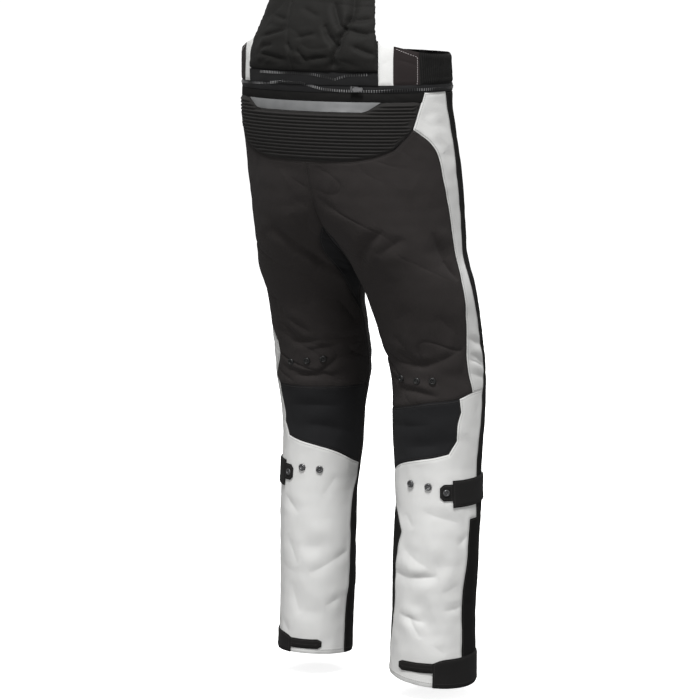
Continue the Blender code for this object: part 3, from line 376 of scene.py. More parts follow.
def stitch_round(piece, thread):
    """Places for a row of stitches inside the edge of a sheet, all the way round."""
    shape = bmesh.new()
    shape.from_mesh(piece.data)
    tree, rim = BVHTree.FromBMesh(shape), edge_tree(shape)
    left = dict.fromkeys(edge for edge in shape.edges if edge.is_boundary)
    while left:
        edge, _ = left.popitem()
        vert, walked = edge.verts[1], 0.0
        while edge is not None:
            other = edge.other_vert(vert)
            step = vert.co - other.co
            face = edge.link_faces[0]
            inward = face.normal.cross(step).normalized()
            if inward.dot(face.calc_center_median() - vert.co) < 0:
                inward = -inward
            walked += step.length
            while walked > STITCH_PITCH:
                walked -= STITCH_PITCH
                on_hem = vert.co.z < HEM_HEIGHT and abs(step.normalized().z) < HEM_SLOPE
                inset = HEM_INSET if on_hem else STITCH_INSET
                spot = vert.co - step.normalized() * walked + inward * inset
                place, normal, _, far = tree.find_nearest(spot)
                clear = rim.find(place)[2] if place is not None else 0.0
                if place is not None and far < 2 * MM and clear > 0.8 * STITCH_INSET:
                    STITCHES[thread].append(standing(place, normal, step))
            ahead = [link for link in vert.link_edges if link in left]
            edge = ahead[0] if ahead else None
            if edge is not None:
                left.pop(edge)
                vert = edge.other_vert(vert)
    shape.free()


Cut = namedtuple("Cut", "width length area")


def sew_in(piece, finish, slot, thickness, cut, *nodes, held="hung", rests_on=(), thread=None):
    """Gives a sheet its thickness and finish, and fixes it to the body in place of the CAD walls."""
    if thread is not None:
        stitch_round(piece, thread)
    select(piece)
    finish_with(piece, "SOLIDIFY", thickness=thickness * MM, offset=-1.0)
    bpy.ops.object.shade_smooth_by_angle(angle=math.radians(50))
    piece.data.materials.append(finish)
    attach(piece, "trousers")
    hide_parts(*nodes)


class Shade:
    """A node's output in a material, so that shader maths is written as plain maths."""

    def __init__(self, tree, socket=None):
        self.tree, self.socket = tree, socket

    def add(self, kind, output, settings, inputs):
        """A new node of any kind: its settings first, then the values or links of its sockets."""
        made = self.tree.nodes.new(kind)
        for name, value in settings.items():
            setattr(made, name, value)
        for name, value in inputs.items():
            if isinstance(value, Shade):
                self.tree.links.new(made.inputs[name], value.socket)
            else:
                made.inputs[name].default_value = value
        return Shade(self.tree, made.outputs[output])

    def output(self, name):
        return Shade(self.tree, self.socket.node.outputs[name])

    def math(self, operation, *values):
        return self.add("ShaderNodeMath", 0, {"operation": operation}, dict(enumerate(values)))

    def __add__(self, other):
        return self.math("ADD", self, other)

    def __sub__(self, other):
        return self.math("SUBTRACT", self, other)

    def __rsub__(self, other):
        return self.math("SUBTRACT", other, self)

    def __mul__(self, other):
        return self.math("MULTIPLY", self, other)

    __radd__, __rmul__ = __add__, __mul__

    def mix(self, first, second):
        """One colour where this value is 0 and another where it is 1."""
        return self.add("ShaderNodeMix", 2, {"data_type": "RGBA"}, {0: self, 6: first, 7: second})


def start_material(name, roughness, metallic=0.0, sheen=0.0, coat=0.0, gloss=0.5):
    """A material with its constant values set, its shader node, and a start for its shader maths."""
    finish = bpy.data.materials.new(name)
    finish.use_nodes = True
    shader = finish.node_tree.nodes["Principled BSDF"]
    shader.inputs["Roughness"].default_value = roughness
    shader.inputs["Metallic"].default_value = metallic
    shader.inputs["Specular IOR Level"].default_value = gloss
    shader.inputs["Sheen Weight"].default_value = sheen
    shader.inputs["Sheen Roughness"].default_value = 0.6
    shader.inputs["Coat Weight"].default_value = coat
    return finish, shader, Shade(finish.node_tree)


def tint(colour, share):
    return (*[c * share for c in colour], 1.0)


CLOTH_GLOSS = 0.12


def woven(name, colour, roughness, thread=0.9, uneven=0.12, sheen=0.02, relief=0.35, groove_shade_pitch=None):
    """Plain-woven textile: threads over and under, slightly uneven in tone as dyed polyester is, and, if it
    has upright grooves, with painted shade in them and a painted highlight on the crests between them."""
    finish, shader, shade = start_material(name, roughness, sheen=sheen, gloss=CLOTH_GLOSS)
    place = shade.add("ShaderNodeTexCoord", "Object", {}, {})
    flat = shade.add("ShaderNodeUVMap", 0, {"uv_map": "cloth"}, {})
    across = shade.add("ShaderNodeSeparateXYZ", 0, {}, {0: flat})
    turn = 2 * math.pi / (thread * MM)
    over = shade.math("SINE", across * turn) * shade.math("SINE", across.output(1) * turn)
    cloudy = shade.add("ShaderNodeTexNoise", "Fac", {}, {"Vector": place, "Scale": 38.0, "Detail": 3.0})
    specks = shade.add("ShaderNodeTexNoise", "Fac", {}, {"Vector": place, "Scale": 620.0, "Detail": 1.0})
    tone = cloudy * 0.55 + specks * 0.45
    colours = tone.mix(tint(colour, 1 - uneven), tint(colour, 1 + uneven))
    threads = (over * 0.5 + 0.5).mix(tint((1, 1, 1), 0.86), tint((1, 1, 1), 1.06))
    dyed = shade.add("ShaderNodeMix", 2, {"data_type": "RGBA", "blend_type": "MULTIPLY"},
                     {0: 1.0, 6: colours, 7: threads})
    # Painted shade in the grooves and a painted highlight on the crests: the colour runs from dark to light
    # in step with the ribs' pitch.
    if groove_shade_pitch is not None:
        round_piece = across * (math.pi / (groove_shade_pitch * MM))
        lit_crests = shade.math("ABSOLUTE", shade.math("COSINE", round_piece))
        painted_groove_shade = lit_crests.mix(tint((1, 1, 1), 0.30), tint((1, 1, 1), 1.20))
        dyed = shade.add("ShaderNodeMix", 2, {"data_type": "RGBA", "blend_type": "MULTIPLY"},
                         {0: 1.0, 6: dyed, 7: painted_groove_shade})
    height = over * 0.5 + specks * 0.8
    bump = shade.add("ShaderNodeBump", 0, {}, {"Strength": relief, "Distance": 0.3 * MM, "Height": height})
    finish.node_tree.links.new(shader.inputs["Base Color"], dyed.socket)
    finish.node_tree.links.new(shader.inputs["Normal"], bump.socket)
    return finish


black_textile = woven("black woven textile", (0.0285, 0.0250, 0.0242), 0.82)
BACK_THIGHS = {"right": Cut(0.270, 0.490, 0.108), "left": Cut(0.280, 0.465, 0.102)}
for name, cut in BACK_THIGHS.items():
    panel = press(skin(name + "_thigh_back", 4), spare=0.29)
    lay_map(panel)
    sew_in(panel, black_textile, "black_textile", 1.4, cut, name + "_thigh_back", thread="black")


# Crotch gussets
# A pair of bluish black stretch pieces under the seat, sewn in between the back thighs and the fronts, where
# they take up the stride.
stretch_textile = woven("bluish stretch textile", (0.0120, 0.0122, 0.0132), 0.72, thread=0.7, uneven=0.08,
                        relief=0.2)
for name in BACK_THIGHS:
    gusset = press(skin(name + "_crotch_gusset", 4), roll=0.7)
    lay_map(gusset)
    sew_in(gusset, stretch_textile, "bluish_textile", 1.4, Cut(0.072, 0.156, 0.0051), name + "_crotch_gusset",
           thread="black")


# Front panels
# Each front is one long piece of the black textile, sewn in from the waist zip to the hem. The photo doesn't
# show them, so they are plain.
FRONTS = {"right": Cut(0.290, 1.025, 0.219), "left": Cut(0.300, 1.020, 0.211)}
for name, cut in FRONTS.items():
    panel = press(skin(name + "_front_panel", 3), front=True, spare=0.36)
    lay_map(panel, front=True)
    sew_in(panel, black_textile, "black_textile", 1.4, cut, name + "_front_panel", thread="black")


# Fly
# A plain strip of the same black textile over the front closing, laid on the left front and sewn down along
# its edge.
fly = press(skin("fly", 3), front=True, roll=0.5, slack=0.6)
lay_map(fly, front=True)
sew_in(fly, black_textile, "black_textile", 1.2, Cut(0.072, 0.168, 0.0085), "fly", held="laid",
       rests_on=["left_front_panel"], thread="black")


# Hip panels
# White woven textile down the outside of each thigh. It starts at the waist zip, narrows down the leg and
# widens again at the knee, and is sewn in between the back thigh and the front.
white_textile = woven("white woven textile", (0.70, 0.70, 0.688), 0.8, uneven=0.04, relief=0.3)
HIPS = {"right": Cut(0.092, 0.510, 0.0212), "left": Cut(0.115, 0.510, 0.0235)}
for name, cut in HIPS.items():
    panel = press(skin(name + "_hip_panel", 4), roll=0.8, creased=0.75, wrinkled=0.5, spare=0.4)
    lay_map(panel)
    sew_in(panel, white_textile, "white_textile", 1.4, cut, name + "_hip_panel", thread="white")


# Side stripes, outer gussets and inner stripes
# Near-black textile sewn in down each leg: a narrow stripe outside to the calf, a wide gusset from there to
# the hem, and a stripe inside the calf.
dark_textile = woven("dark woven textile", (0.0074, 0.0071, 0.0069), 0.78, uneven=0.1, sheen=0.0)
DARK_SIDES = [
    ("right_side_stripe", Cut(0.054, 0.727, 0.0214)), ("left_side_stripe", Cut(0.082, 0.727, 0.0208)),
    ("right_outer_gusset", Cut(0.063, 0.293, 0.0172)), ("left_outer_gusset", Cut(0.062, 0.281, 0.0147)),
    ("right_inner_stripe", Cut(0.097, 0.316, 0.0225)), ("left_inner_stripe", Cut(0.055, 0.319, 0.0116)),
]
for node, cut in DARK_SIDES:
    stripe = press(skin(node, 3), roll=0.7)
    lay_map(stripe)
    sew_in(stripe, dark_textile, "dark_textile", 1.4, cut, node, thread="black")


# Knee backs
# Bluish black stretch textile behind each knee, smoother than the thigh and sewn in all round, so that the
# knee can bend.
KNEES = {"right": Cut(0.190, 0.148, 0.0182), "left": Cut(0.196, 0.147, 0.0198)}
for name, cut in KNEES.items():
    panel = press(skin(name + "_knee_back", 4), slack=0.7, wrinkled=0.5, spare=0.4)
    lay_map(panel)
    sew_in(panel, stretch_textile, "bluish_textile", 1.4, cut, name + "_knee_back", thread="black")


# Calf panels
# The large backs of the lower legs in the white woven textile, sewn in below the knee backs, with a turned
# hem at the bottom.
CALVES = {"right": Cut(0.232, 0.510, 0.0686), "left": Cut(0.230, 0.495, 0.0700)}
for name, cut in CALVES.items():
    panel = press(skin(name + "_calf_panel", 4), creased=0.6, wrinkled=0.5, spare=0.27)
    lay_map(panel)
    sew_in(panel, white_textile, "white_textile", 1.4, cut, name + "_calf_panel", thread="white")


# Hem pieces and calf straps
# Near-black pieces laid on the lower leg: a heel panel with its strap at the hem, and a band with a tab that
# narrows the calf. Each is a doubled piece of firm textile, sewn down at its edge.
LAID_ON = [
    ("right_heel_panel", Cut(0.112, 0.055, 0.0061)), ("left_heel_panel", Cut(0.111, 0.043, 0.0038)),
    ("right_heel_strap", Cut(0.062, 0.018, 0.0011)), ("left_heel_strap", Cut(0.062, 0.018, 0.0009)),
    ("right_calf_band", Cut(0.094, 0.047, 0.0044)), ("left_calf_band", Cut(0.093, 0.047, 0.0041)),
    ("right_calf_tab", Cut(0.023, 0.029, 0.0006)), ("left_calf_tab", Cut(0.023, 0.029, 0.0005)),
]
strap_textile = woven("firm strap textile", (0.0115, 0.0110, 0.0108), 0.75, thread=1.1, uneven=0.1)
for node, cut in LAID_ON:
    piece = press(skin(node, 4), push=0.8, roll=1.0, slack=0.9, wrinkled=0.3, spare=0.35)
    lay_map(piece)
    under = node.split("_")[0] + "_calf_panel"
    sew_in(piece, strap_textile, "dark_textile", 1.6, cut, node, held="laid", rests_on=[under],
           thread="black")


# Yoke
# A plain black textile band sewn in under the waist zip, and below it a strip of reflective glass beads on
# cloth, let into the yoke.
band = press(skin("yoke_band", 3), roll=0.5, slack=0.5, wrinkled=0.4)
lay_map(band)
sew_in(band, dark_textile, "black_textile", 1.4, Cut(0.436, 0.016, 0.0060), "yoke_band")


def specked(name, roughness, first, second, scale, detail, **look):
    """A material whose colour wanders between two tones in specks, its shader, and the specks' share."""
    finish, shader, shade = start_material(name, roughness, **look)
    place = shade.add("ShaderNodeTexCoord", "Object", {}, {})
    specks = shade.add("ShaderNodeTexNoise", "Fac", {}, {"Vector": place, "Scale": scale, "Detail": detail})
    colour = specks.mix((*first, 1.0), (*second, 1.0))
    finish.node_tree.links.new(shader.inputs["Base Color"], colour.socket)
    return finish, shader, specks


reflective, shader, dust = specked("reflective strip", 0.42, (0.155, 0.158, 0.160), (0.215, 0.218, 0.220),
                                   60.0, 2.0, metallic=0.25)
place = dust.add("ShaderNodeTexCoord", "Object", {}, {})
beads = dust.add("ShaderNodeTexVoronoi", "Distance", {}, {"Vector": place, "Scale": 900.0})
bump = dust.add("ShaderNodeBump", 0, {}, {"Strength": 0.2, "Distance": 0.1 * MM, "Height": beads})
reflective.node_tree.links.new(shader.inputs["Normal"], bump.socket)
strip = press(skin("reflective_strip", 3), roll=0.4, slack=0.6, wrinkled=0.4)
lay_map(strip)
sew_in(strip, reflective, "reflective_strip", 1.2, Cut(0.308, 0.017, 0.0038), "reflective_strip")


# Ribbed seat panel
# Black stretch textile sewn over rubber threads in level rows, so that it puffs up into ribs between them. It
# is sewn in between the yoke and the back thighs.
RIB_PITCH, RIB_FIRST, RIB_PUFF = 5.6, -80.6, 0.55


def seat_ribs(side, angle, heights, reach, rim):
    inside = np.clip(rim / 7, 0, 1)
    return RIB_PUFF * np.cos((heights - RIB_FIRST) * 2 * math.pi / RIB_PITCH) * inside


ribs = press(skin("ribbed_panel", 2), roll=0.6, slack=0.5, wrinkled=0.0, pattern=seat_ribs)
lay_map(ribs)
ribbed_textile = woven("ribbed stretch textile", (0.0190, 0.0180, 0.0172), 0.8, uneven=0.1)
sew_in(ribs, ribbed_textile, "black_textile", 1.2, Cut(0.427, 0.098, 0.0361), "ribbed_panel",
       held="stretched")


# Waistband
# Firm textile pieces sewn end to end. From the middle of the back: a dark band behind the flap, a white
# wedge, a dark grey panel, a ribbed elastic over the hip, and a plain dark front half.
grey_textile = woven("grey woven textile", (0.0205, 0.0160, 0.0160), 0.8, uneven=0.1)
lining_textile = woven("band textile", (0.012, 0.0115, 0.0115), 0.8)
band = press(skin("band_back", 2), slack=0.6)
lay_map(band)
sew_in(band, lining_textile, "dark_textile", 1.4, Cut(0.306, 0.075, 0.0191), "band_back")
for name in BACK_THIGHS:
    front = press(skin(name + "_band_front", 3), front=True, slack=0.5, wrinkled=0.5)
    lay_map(front, front=True)
    sew_in(front, lining_textile, "dark_textile", 1.4, Cut(0.180, 0.055, 0.0088), name + "_band_front",
           thread="black")
    wedge = press(skin(name + "_band_wedge", 4), roll=0.8, slack=0.5, wrinkled=0.4)
    lay_map(wedge)
    sew_in(wedge, white_textile, "white_textile", 1.4, Cut(0.026, 0.071, 0.0017), name + "_band_wedge")
    panel = press(skin(name + "_band_panel", 4), roll=0.8, slack=0.5, wrinkled=0.6)
    lay_map(panel)
    sew_in(panel, grey_textile, "grey_textile", 1.4, Cut(0.040, 0.063, 0.0025), name + "_band_panel")

ELASTIC_PITCH, ELASTIC_PUFF = 3.4, 0.7


def elastic_ribs(side, angle, heights, reach, rim):
    inside = np.clip((rim - 1.5) / 3, 0, 1)
    return ELASTIC_PUFF * np.cos(np.radians(angle) * reach * 2 * math.pi / ELASTIC_PITCH) * inside


# The elastic's colour has painted shade in its grooves and a painted highlight on its ribs.
elastic_textile = woven("ribbed elastic", (0.0105, 0.0103, 0.0098), 0.85, thread=0.7, uneven=0.1,
                        groove_shade_pitch=ELASTIC_PITCH)
for name in BACK_THIGHS:
    elastic = press(skin(name + "_band_elastic", 4, outer=False), push=2.3, roll=1.0, slack=0.5, wrinkled=0.0,
                    pattern=elastic_ribs)
    lay_map(elastic)
    sew_in(elastic, elastic_textile, "dark_textile", 1.4, Cut(0.150, 0.053, 0.0068), name + "_band_elastic",
           held="stretched")


# Zip tapes
# Woven polyester tape of the zip that runs round the waist, and of the zip along the bottom of the flap, each
# sewn down between the pieces above and below it.
tape_textile = woven("zip tape", (0.0100, 0.0100, 0.0105), 0.6, thread=0.6, uneven=0.06, relief=0.3)
TAPES = {"waist_zip_tape": Cut(0.900, 0.013, 0.0100), "flap_zip_tape": Cut(0.302, 0.021, 0.0052)}
for node, cut in TAPES.items():
    tape = press(skin(node, 3), push=0.6, roll=0.4, slack=0.3, wrinkled=0.3)
    lay_map(tape)
    sew_in(tape, tape_textile, "zip_tape", 1.0, cut, node)


# Padded back flap
# Dark grey textile over a foam pad. It stands up behind the waistband from its zip, leans forward with soft
# wrinkles, and is quilted by one upright seam and one level seam near its top.
FLAP_VOXEL, FLAP_EASE = 2.4 * MM, 12
FLAP_PRESSURE, FLAP_FRAMES, FLAP_CAP, FLAP_SEWN = 3.0, 14, 3.0 * MM, 6.0 * MM

# A wrinkle of the flap: from and to in millimetres across and up, its width and its depth
Wrinkle = namedtuple("Wrinkle", "from_x from_z to_x to_z width depth")
FLAP_WRINKLES = [
    # the long crease on the right and the two that run into it
    Wrinkle(-70, 96, -77, 58, 6, 5.0), Wrinkle(-77, 64, -69, 30, 5, 7.5), Wrinkle(-69, 36, -66, 8, 5, 8.0),
    Wrinkle(-66, 14, -55, -22, 5, 7.5), Wrinkle(-42, 82, -61, 42, 5, 6.0), Wrinkle(-58, 44, -78, 38, 4, 5.0),
    Wrinkle(-36, 48, -45, 28, 4, 5.5), Wrinkle(-44, 31, -67, 12, 5, 6.5),
    # short level wrinkles on both sides of the seam
    Wrinkle(94, 27, 34, 38, 4, 5.0), Wrinkle(76, 62, 40, 53, 4, 4.0), Wrinkle(12, 26, -22, 33, 4, 4.0),
    Wrinkle(-70, 52, -108, 57, 4, 4.5), Wrinkle(-90, 16, -120, -2, 4, 5.0),
    Wrinkle(-14, -10, -52, -3, 4, 4.5), Wrinkle(94, -3, 30, -8, 4, 4.5), Wrinkle(10, 8, -10, -13, 4, 4.0),
    Wrinkle(30, 18, 16, 2, 4, 4.0), Wrinkle(-78, 40, -112, 32, 4, 4.0), Wrinkle(14, 70, -22, 62, 4, 3.0),
    Wrinkle(92, 6, 60, 12, 4, 3.5),
    # the part above the photo's edge
    Wrinkle(-12, 160, -38, 104, 6, 4.5), Wrinkle(-70, 128, -46, 112, 5, 3.5),
    Wrinkle(4, 112, 36, 120, 5, 3.0), Wrinkle(58, 146, 70, 110, 5, 3.0), Wrinkle(20, 92, 36, 88, 4, 3.0),
    # the upright seam in two stretches, and the level seam
    Wrinkle(46, 170, 41, 81, 1.6, 2.0), Wrinkle(41, 81, 18, -24, 1.6, 2.0),
    Wrinkle(-80, 157, 80, 157, 1.4, 1.2),
]
flap = merged_copy("back_flap")
bpy.ops.object.mode_set(mode="OBJECT")
finish_with(flap, "REMESH", mode="VOXEL", voxel_size=FLAP_VOXEL, use_smooth_shade=True)
finish_with(flap, "SMOOTH", factor=0.5, iterations=FLAP_EASE)
before = read(flap.data, "co")
sewn = flap.vertex_groups.new(name="sewn")
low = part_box("back_flap")[0].z
sewn.add([v.index for v in flap.data.vertices if v.co.z < low + FLAP_SEWN], 1.0, "REPLACE")
bpy.ops.object.modifier_add(type="CLOTH")
cloth = flap.modifiers[-1]
cloth.settings.use_pressure = True
cloth.settings.uniform_pressure_force = FLAP_PRESSURE
cloth.settings.effector_weights.gravity = 0.0
cloth.settings.vertex_group_mass = "sewn"
cloth.settings.quality = 4
cloth.point_cache.frame_start, cloth.point_cache.frame_end = 1, FLAP_FRAMES
for step in range(1, FLAP_FRAMES + 1):
    bpy.context.scene.frame_set(step)
bpy.ops.object.modifier_apply(modifier=cloth.name)
bpy.context.scene.frame_set(1)
move = read(flap.data, "co") - before
far = np.linalg.norm(move, axis=1, keepdims=True)
move_to(flap, before + move * np.minimum(1.0, FLAP_CAP / np.maximum(far, 1e-9)))
points, normals = read(flap.data, "co"), read(flap.data, "normal")
across, up = points[:, 0] / MM, points[:, 2] / MM
wander = soft_noise(points, 30, 11) * 2.5
field = soft_noise(np.stack([points[:, 0] * 0.5, points[:, 2], points[:, 0] * 0], 1), 30, 12)
out = 1.0 - 1.6 * np.exp(-np.abs(field) / 0.10) + soft_noise(points, 20, 13) * 2.0
for wrinkle in FLAP_WRINKLES:
    run = np.array([wrinkle.to_x - wrinkle.from_x, wrinkle.to_z - wrinkle.from_z], float)
    long = np.hypot(*run)
    at = np.stack([across - wrinkle.from_x, up - wrinkle.from_z], 1)
    along = np.clip(at @ run / long**2, 0, 1)
    sewn_line = wrinkle.width < 2
    aside = (at[:, 1] * run[0] - at[:, 0] * run[1]) / long + (0 if sewn_line else wander)
    beyond = np.abs((at @ run / long**2 - along) * long)
    ends = 1.0 if sewn_line else np.clip(np.minimum(along, 1 - along) * 4 + 0.25, 0, 1)
    strength = wrinkle.depth * ends * np.exp(-(beyond / max(wrinkle.width, 3)) ** 2)
    out -= strength * np.exp(-(np.sqrt(aside**2 + 1.0) - 1.0) / (0.8 * wrinkle.width))
    out += 0.32 * strength * np.exp(-((aside - 1.9 * wrinkle.width) / (1.5 * wrinkle.width)) ** 2)
    out += 0.18 * strength * np.exp(-((aside + 1.9 * wrinkle.width) / (1.5 * wrinkle.width)) ** 2)
outer = np.clip((normals[:, 1] - 0.25) / 0.45, 0, 1)
move_to(flap, points + normals * (out * outer * MM)[:, None])
lay_map(flap)
flap_textile = woven("flap textile", (0.0098, 0.0094, 0.0086), 0.7, uneven=0.1)
flap.data.materials.append(flap_textile)
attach(flap, "trousers")
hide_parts("back_flap")


# Zip teeth
# Black plastic teeth moulded onto the waist tape in one row, and onto the flap's tape in a second row that
# dips below the flap.
TOOTH_PITCH, TOOTH_TALL, TOOTH_WIDE, TOOTH_DEEP, TOOTH_ROUNDING = 3.8, 4.4, 1.4, 1.1, 0.35
# Height of each row by its turn about the waist: 90 is the middle of the back, 180 the right hip
WAIST_ROW = [(0, -54), (48, -50), (69, -46.5), (88, -46), (98, -51), (106, -55), (120, -57), (140, -57.5),
             (162, -55), (360, -54)]
FLAP_ROW = [(50, -31.5), (88, -31), (99, -32), (107, -35), (115.5, -39), (123, -33), (136, -31)]
tooth_finish, shader, shade = start_material("moulded zip teeth", 0.3, coat=0.3)
place = shade.add("ShaderNodeTexCoord", "Object", {}, {})
# Painted highlights: the noise picks patches of teeth that are coloured light grey, as glints where the light
# catches them, and leaves the rest black.
glint_patches = shade.add("ShaderNodeTexNoise", "Fac", {}, {"Vector": place, "Scale": 22.0, "Detail": 1.0})
wear_and_glints = shade.math("MAXIMUM", glint_patches * 5.0 - 2.3, 0.0)
tooth_colour = wear_and_glints.mix((0.012, 0.012, 0.012, 1.0), (0.230, 0.230, 0.232, 1.0))
tooth_finish.node_tree.links.new(shader.inputs["Base Color"], tooth_colour.socket)


def surface_tree(*nodes):
    """Tree of the dressed cloth, to find the cloth under a place."""
    points, faces = [], []
    for node in nodes:
        mesh = bpy.data.objects[node + "_cloth"].data
        first = len(points)
        points += [v.co.copy() for v in mesh.vertices]
        faces += [tuple(first + i for i in face.vertices) for face in mesh.polygons]
    return BVHTree.FromPolygons(points, faces)


def teeth_along(row, tree):
    """Frames of the teeth of a row on the cloth, at even steps round the waist."""
    turns, heights = zip(*row)
    found, turn = [], turns[0]
    while turn < turns[-1]:
        out = Vector((math.cos(math.radians(turn)), math.sin(math.radians(turn)), 0))
        middle = Vector((0, -0.003, np.interp(turn, turns, heights) * MM))
        hit, normal, _, far = tree.ray_cast(middle + out * 0.4, -out)
        if hit is None or far > 0.32:
            turn += 0.8
            continue
        found.append(standing(hit, normal, Vector((0, 0, 1)), -0.2))
        turn += math.degrees(TOOTH_PITCH * MM / (0.4 - far))
    return found


def many(places, name, finish, form):
    """One piece made of many copies of a small form, each copy set in its own frame."""
    verts, faces = form
    all_verts, all_faces = [], []
    for matrix in places:
        first = len(all_verts)
        all_verts += [matrix @ Vector(v) for v in verts]
        all_faces += [tuple(first + i for i in face) for face in faces]
    mesh = bpy.data.meshes.new(name)
    mesh.from_pydata(all_verts, [], all_faces)
    piece = bpy.data.objects.new(name, mesh)
    bpy.context.scene.collection.objects.link(piece)
    mesh.materials.append(finish)
    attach(piece, "trousers")
    return piece


def small_form(length, width, height, rounding=0.0):
    """Vertices and faces of a small bar along X, modelled once: width along Y, its top up along Z."""
    bpy.ops.mesh.primitive_cube_add(size=1.0)
    bar = bpy.context.object
    bpy.ops.object.mode_set(mode="EDIT")
    bpy.ops.transform.resize(value=(length * MM, width * MM, height * MM))
    bpy.ops.transform.translate(value=(0, 0, height * MM / 2))
    if rounding:
        bpy.ops.mesh.bevel(offset=rounding * MM, segments=1, affect="EDGES")
    bpy.ops.object.mode_set(mode="OBJECT")
    verts = [v.co.copy() for v in bar.data.vertices]
    faces = [tuple(face.vertices) for face in bar.data.polygons]
    bpy.data.objects.remove(bar)
    return verts, faces


tapes = surface_tree("waist_zip_tape", "flap_zip_tape")
tooth = small_form(TOOTH_TALL, TOOTH_WIDE, TOOTH_DEEP, TOOTH_ROUNDING)
many(teeth_along(WAIST_ROW, tapes), "waist_zip_teeth", tooth_finish, tooth)
many(teeth_along(FLAP_ROW, tapes), "flap_zip_teeth", tooth_finish, tooth)


# Snaps and waist button
# Press snaps of coated metal, riveted through the cloth of the thighs, calves and tabs, and the button of the
# waist: each a domed ring round a sunk middle with a small stud.
COATED, BLACK = ((0.060, 0.060, 0.062), (0.125, 0.125, 0.128)), ((0.005, 0.005, 0.005), (0.016, 0.016, 0.016))
coated_snap, _, _ = specked("coated snap", 0.34, *COATED, 420.0, 2.0, metallic=0.6, coat=0.3)
black_snap, _, _ = specked("black snap", 0.42, *BLACK, 420.0, 2.0, gloss=0.4)

# Radius and height of each ring from the back edge to the stud, as shares of the snap's own
SNAP_RINGS = [(1.00, 0.0), (1.00, 0.30), (0.95, 0.62), (0.86, 0.86), (0.74, 1.0), (0.62, 0.96), (0.54, 0.78),
              (0.50, 0.42), (0.30, 0.36), (0.26, 0.60), (0.18, 0.70)]


def snap(node, radius, height, finish):
    """A turned snap in the place of its CAD disc, square to the disc."""
    points = read(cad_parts[node].data, "co")
    centre = points.mean(0)
    axis = Vector(np.linalg.svd(points - centre)[2][2])
    side, _, heights, _ = on_form(centre[None, :])
    rows = np.array(FORM, float)
    inner = Vector((side[0] * np.interp(heights[0], rows[:, 0], rows[:, 1]) * MM,
                    np.interp(heights[0], rows[:, 0], rows[:, 2]) * MM, centre[2]))
    if axis.dot(Vector(centre) - inner) < 0:
        axis = -axis
    base = Vector(centre) + axis * float(((points - centre) @ np.array(axis)).min())
    bpy.ops.object.select_all(action="DESELECT")
    bpy.ops.mesh.primitive_circle_add(vertices=28, radius=radius * MM, fill_type="NOTHING")
    piece = bpy.context.object
    piece.name = node + "_turned"
    bpy.ops.object.mode_set(mode="EDIT")
    bpy.ops.mesh.select_all(action="SELECT")
    for (share, rise), (next_share, next_rise) in zip(SNAP_RINGS, SNAP_RINGS[1:]):
        lift = (0, 0, (next_rise - rise) * height * MM)
        bpy.ops.mesh.extrude_edges_move(TRANSFORM_OT_translate={"value": lift})
        scale = next_share / share
        bpy.ops.transform.resize(value=(scale, scale, 1), center_override=(0, 0, 0))
    bpy.ops.mesh.edge_face_add()
    bpy.ops.mesh.select_all(action="DESELECT")
    shape = bmesh.from_edit_mesh(piece.data)
    for edge in shape.edges:
        edge.select_set(edge.is_boundary)
    bmesh.update_edit_mesh(piece.data)
    bpy.ops.mesh.edge_face_add()
    bpy.ops.mesh.select_all(action="SELECT")
    bpy.ops.mesh.normals_make_consistent(inside=False)
    bpy.ops.object.mode_set(mode="OBJECT")
    piece.data.transform(Matrix.Translation(-piece.location))
    piece.matrix_world = Matrix.Identity(4)
    piece.data.transform(standing(base, axis, Vector((0, 0, 1))))
    bpy.ops.object.shade_smooth_by_angle(angle=math.radians(40))
    piece.data.materials.append(finish)
    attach(piece, "trousers")
    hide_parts(node)


for name in BACK_THIGHS:
    for number in (1, 2, 3):
        snap(f"{name}_thigh_snap_{number}", 6.2, 2.6, black_snap)
    for number in (1, 2):
        snap(f"{name}_calf_snap_{number}", 6.4, 2.8, coated_snap)
    snap(f"{name}_tab_snap", 6.0, 2.4, coated_snap)
snap("waist_button", 8.5, 3.4, coated_snap)


# Topstitching
# Rows of polyester thread, sewn through inside the edge of each panel in its own colour, and light rows on
# the two grey pieces of the waistband, each from angle and height to angle and height.
GREY_ROWS = [((16.9, -47), (16.9, -3.5)), ((16.9, -3.5), (21.8, 2.5)), ((21.8, 2.5), (27.5, 9.5))]
GREY_PITCH, GREY_PER_DEGREE = 3.4, 3.0
STITCH_LONG, STITCH_WIDE, STITCH_DEEP = 2.7, 0.7, 0.5
THREAD_COLOURS = {"black": (0.030, 0.028, 0.027), "white": (0.42, 0.42, 0.41), "light": (0.36, 0.33, 0.33)}
for name, side in (("right", RIGHT), ("left", LEFT)):
    tree = surface_tree(name + "_band_panel")
    for (from_angle, from_height), (to_angle, to_height) in GREY_ROWS:
        long = math.hypot((to_angle - from_angle) * GREY_PER_DEGREE, to_height - from_height)
        count = int(long / GREY_PITCH)
        last = None
        for i in range(count + 1):
            angle = math.radians(from_angle + (to_angle - from_angle) * i / count)
            height = from_height + (to_height - from_height) * i / count
            out = Vector((side * math.cos(angle), math.sin(angle), 0))
            hit, normal, _, _ = tree.ray_cast(Vector((0, 0, height * MM)) + out * 0.4, -out)
            if hit is not None and last is not None:
                STITCHES["light"].append(standing((hit + last) / 2, normal, hit - last, 0.1))
            last = hit
stitch = small_form(STITCH_LONG, STITCH_WIDE, STITCH_DEEP)
for thread, places in STITCHES.items():
    dull, bright = ([tone * share for tone in THREAD_COLOURS[thread]] for share in (0.75, 1.2))
    finish, _, _ = specked(thread + " thread", 0.7, dull, bright, 900.0, 1.0, gloss=0.2)
    many(places, thread + "_topstitching", finish, stitch)


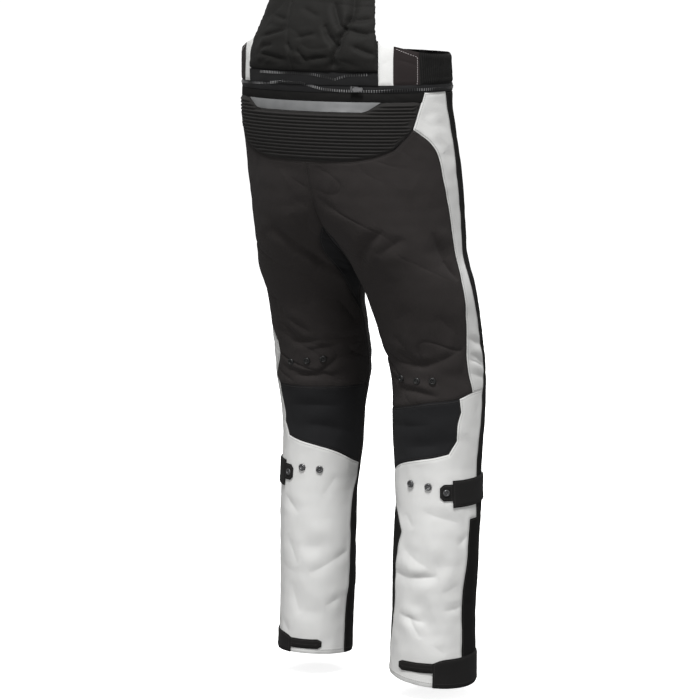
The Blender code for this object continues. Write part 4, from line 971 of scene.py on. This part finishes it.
# Zip slider and pull tab
# Die-cast parts, the slider on the waist tape and the pull tab on its pin, as the CAD model gives them, in
# dark coated metal that is worn brighter where it is rubbed.
DULL_METAL, RUBBED_METAL = (0.085, 0.085, 0.088), (0.190, 0.190, 0.193)
slider_finish, shader, wear_and_glints = specked("die-cast zip metal", 0.36, DULL_METAL, RUBBED_METAL, 260.0, 3.0,
                                      metallic=0.8)
grain = wear_and_glints.add("ShaderNodeBump", 0, {}, {"Strength": 0.15, "Distance": 0.1 * MM, "Height": wear_and_glints})
slider_finish.node_tree.links.new(shader.inputs["Normal"], grain.socket)
for node in ("zip_slider", "zip_pull"):
    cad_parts[node].material_slots[0].material = slider_finish


# Floor and light
# A wide, pale, softly lit floor just below the hems, a pale room, and soft lights: the key high above the
# back, a small fill low behind the calves, one on the wearer's right, and one for the front.
FLOOR_HEIGHT = -1.10
bpy.ops.mesh.primitive_plane_add(size=400.0, location=(0, 0, FLOOR_HEIGHT))
floor = bpy.context.object
floor.name = "floor"
pale, shader, _ = specked("pale floor", 0.9, (0.90, 0.90, 0.90), (0.92, 0.92, 0.92), 3.0, 2.0, gloss=0.0)
shader.inputs["Emission Color"].default_value = (1.0, 1.0, 1.0, 1.0)
shader.inputs["Emission Strength"].default_value = 0.82
floor.data.materials.append(pale)
floor.visible_diffuse = floor.visible_glossy = False

world = bpy.data.worlds.new("studio")
bpy.context.scene.world = world
world.use_nodes = True
world.node_tree.nodes["Background"].inputs["Color"].default_value = (1.0, 1.0, 1.0, 1.0)
world.node_tree.nodes["Background"].inputs["Strength"].default_value = 0.3

Light = namedtuple("Light", "name place size power")
LIGHTS = [
    Light("key", (-1.0, 1.8, 3.4), 1.0, 235.0),
    Light("fill", (0.1, 2.6, -0.72), 0.7, 14.0),
    Light("side", (-3.4, -0.2, 0.4), 1.8, 16.0),
    Light("front", (1.6, -3.0, 1.6), 1.6, 110.0),
]
for light in LIGHTS:
    bpy.ops.object.light_add(type="AREA", location=light.place)
    lamp = bpy.context.object
    lamp.name = light.name
    lamp.data.size, lamp.data.energy = light.size, light.power
    lamp.rotation_mode = "QUATERNION"
    lamp.rotation_quaternion = (CAMERA_AIM - Vector(light.place)).to_track_quat("-Z", "Y")
bpy.context.scene.view_settings.view_transform = "Standard"
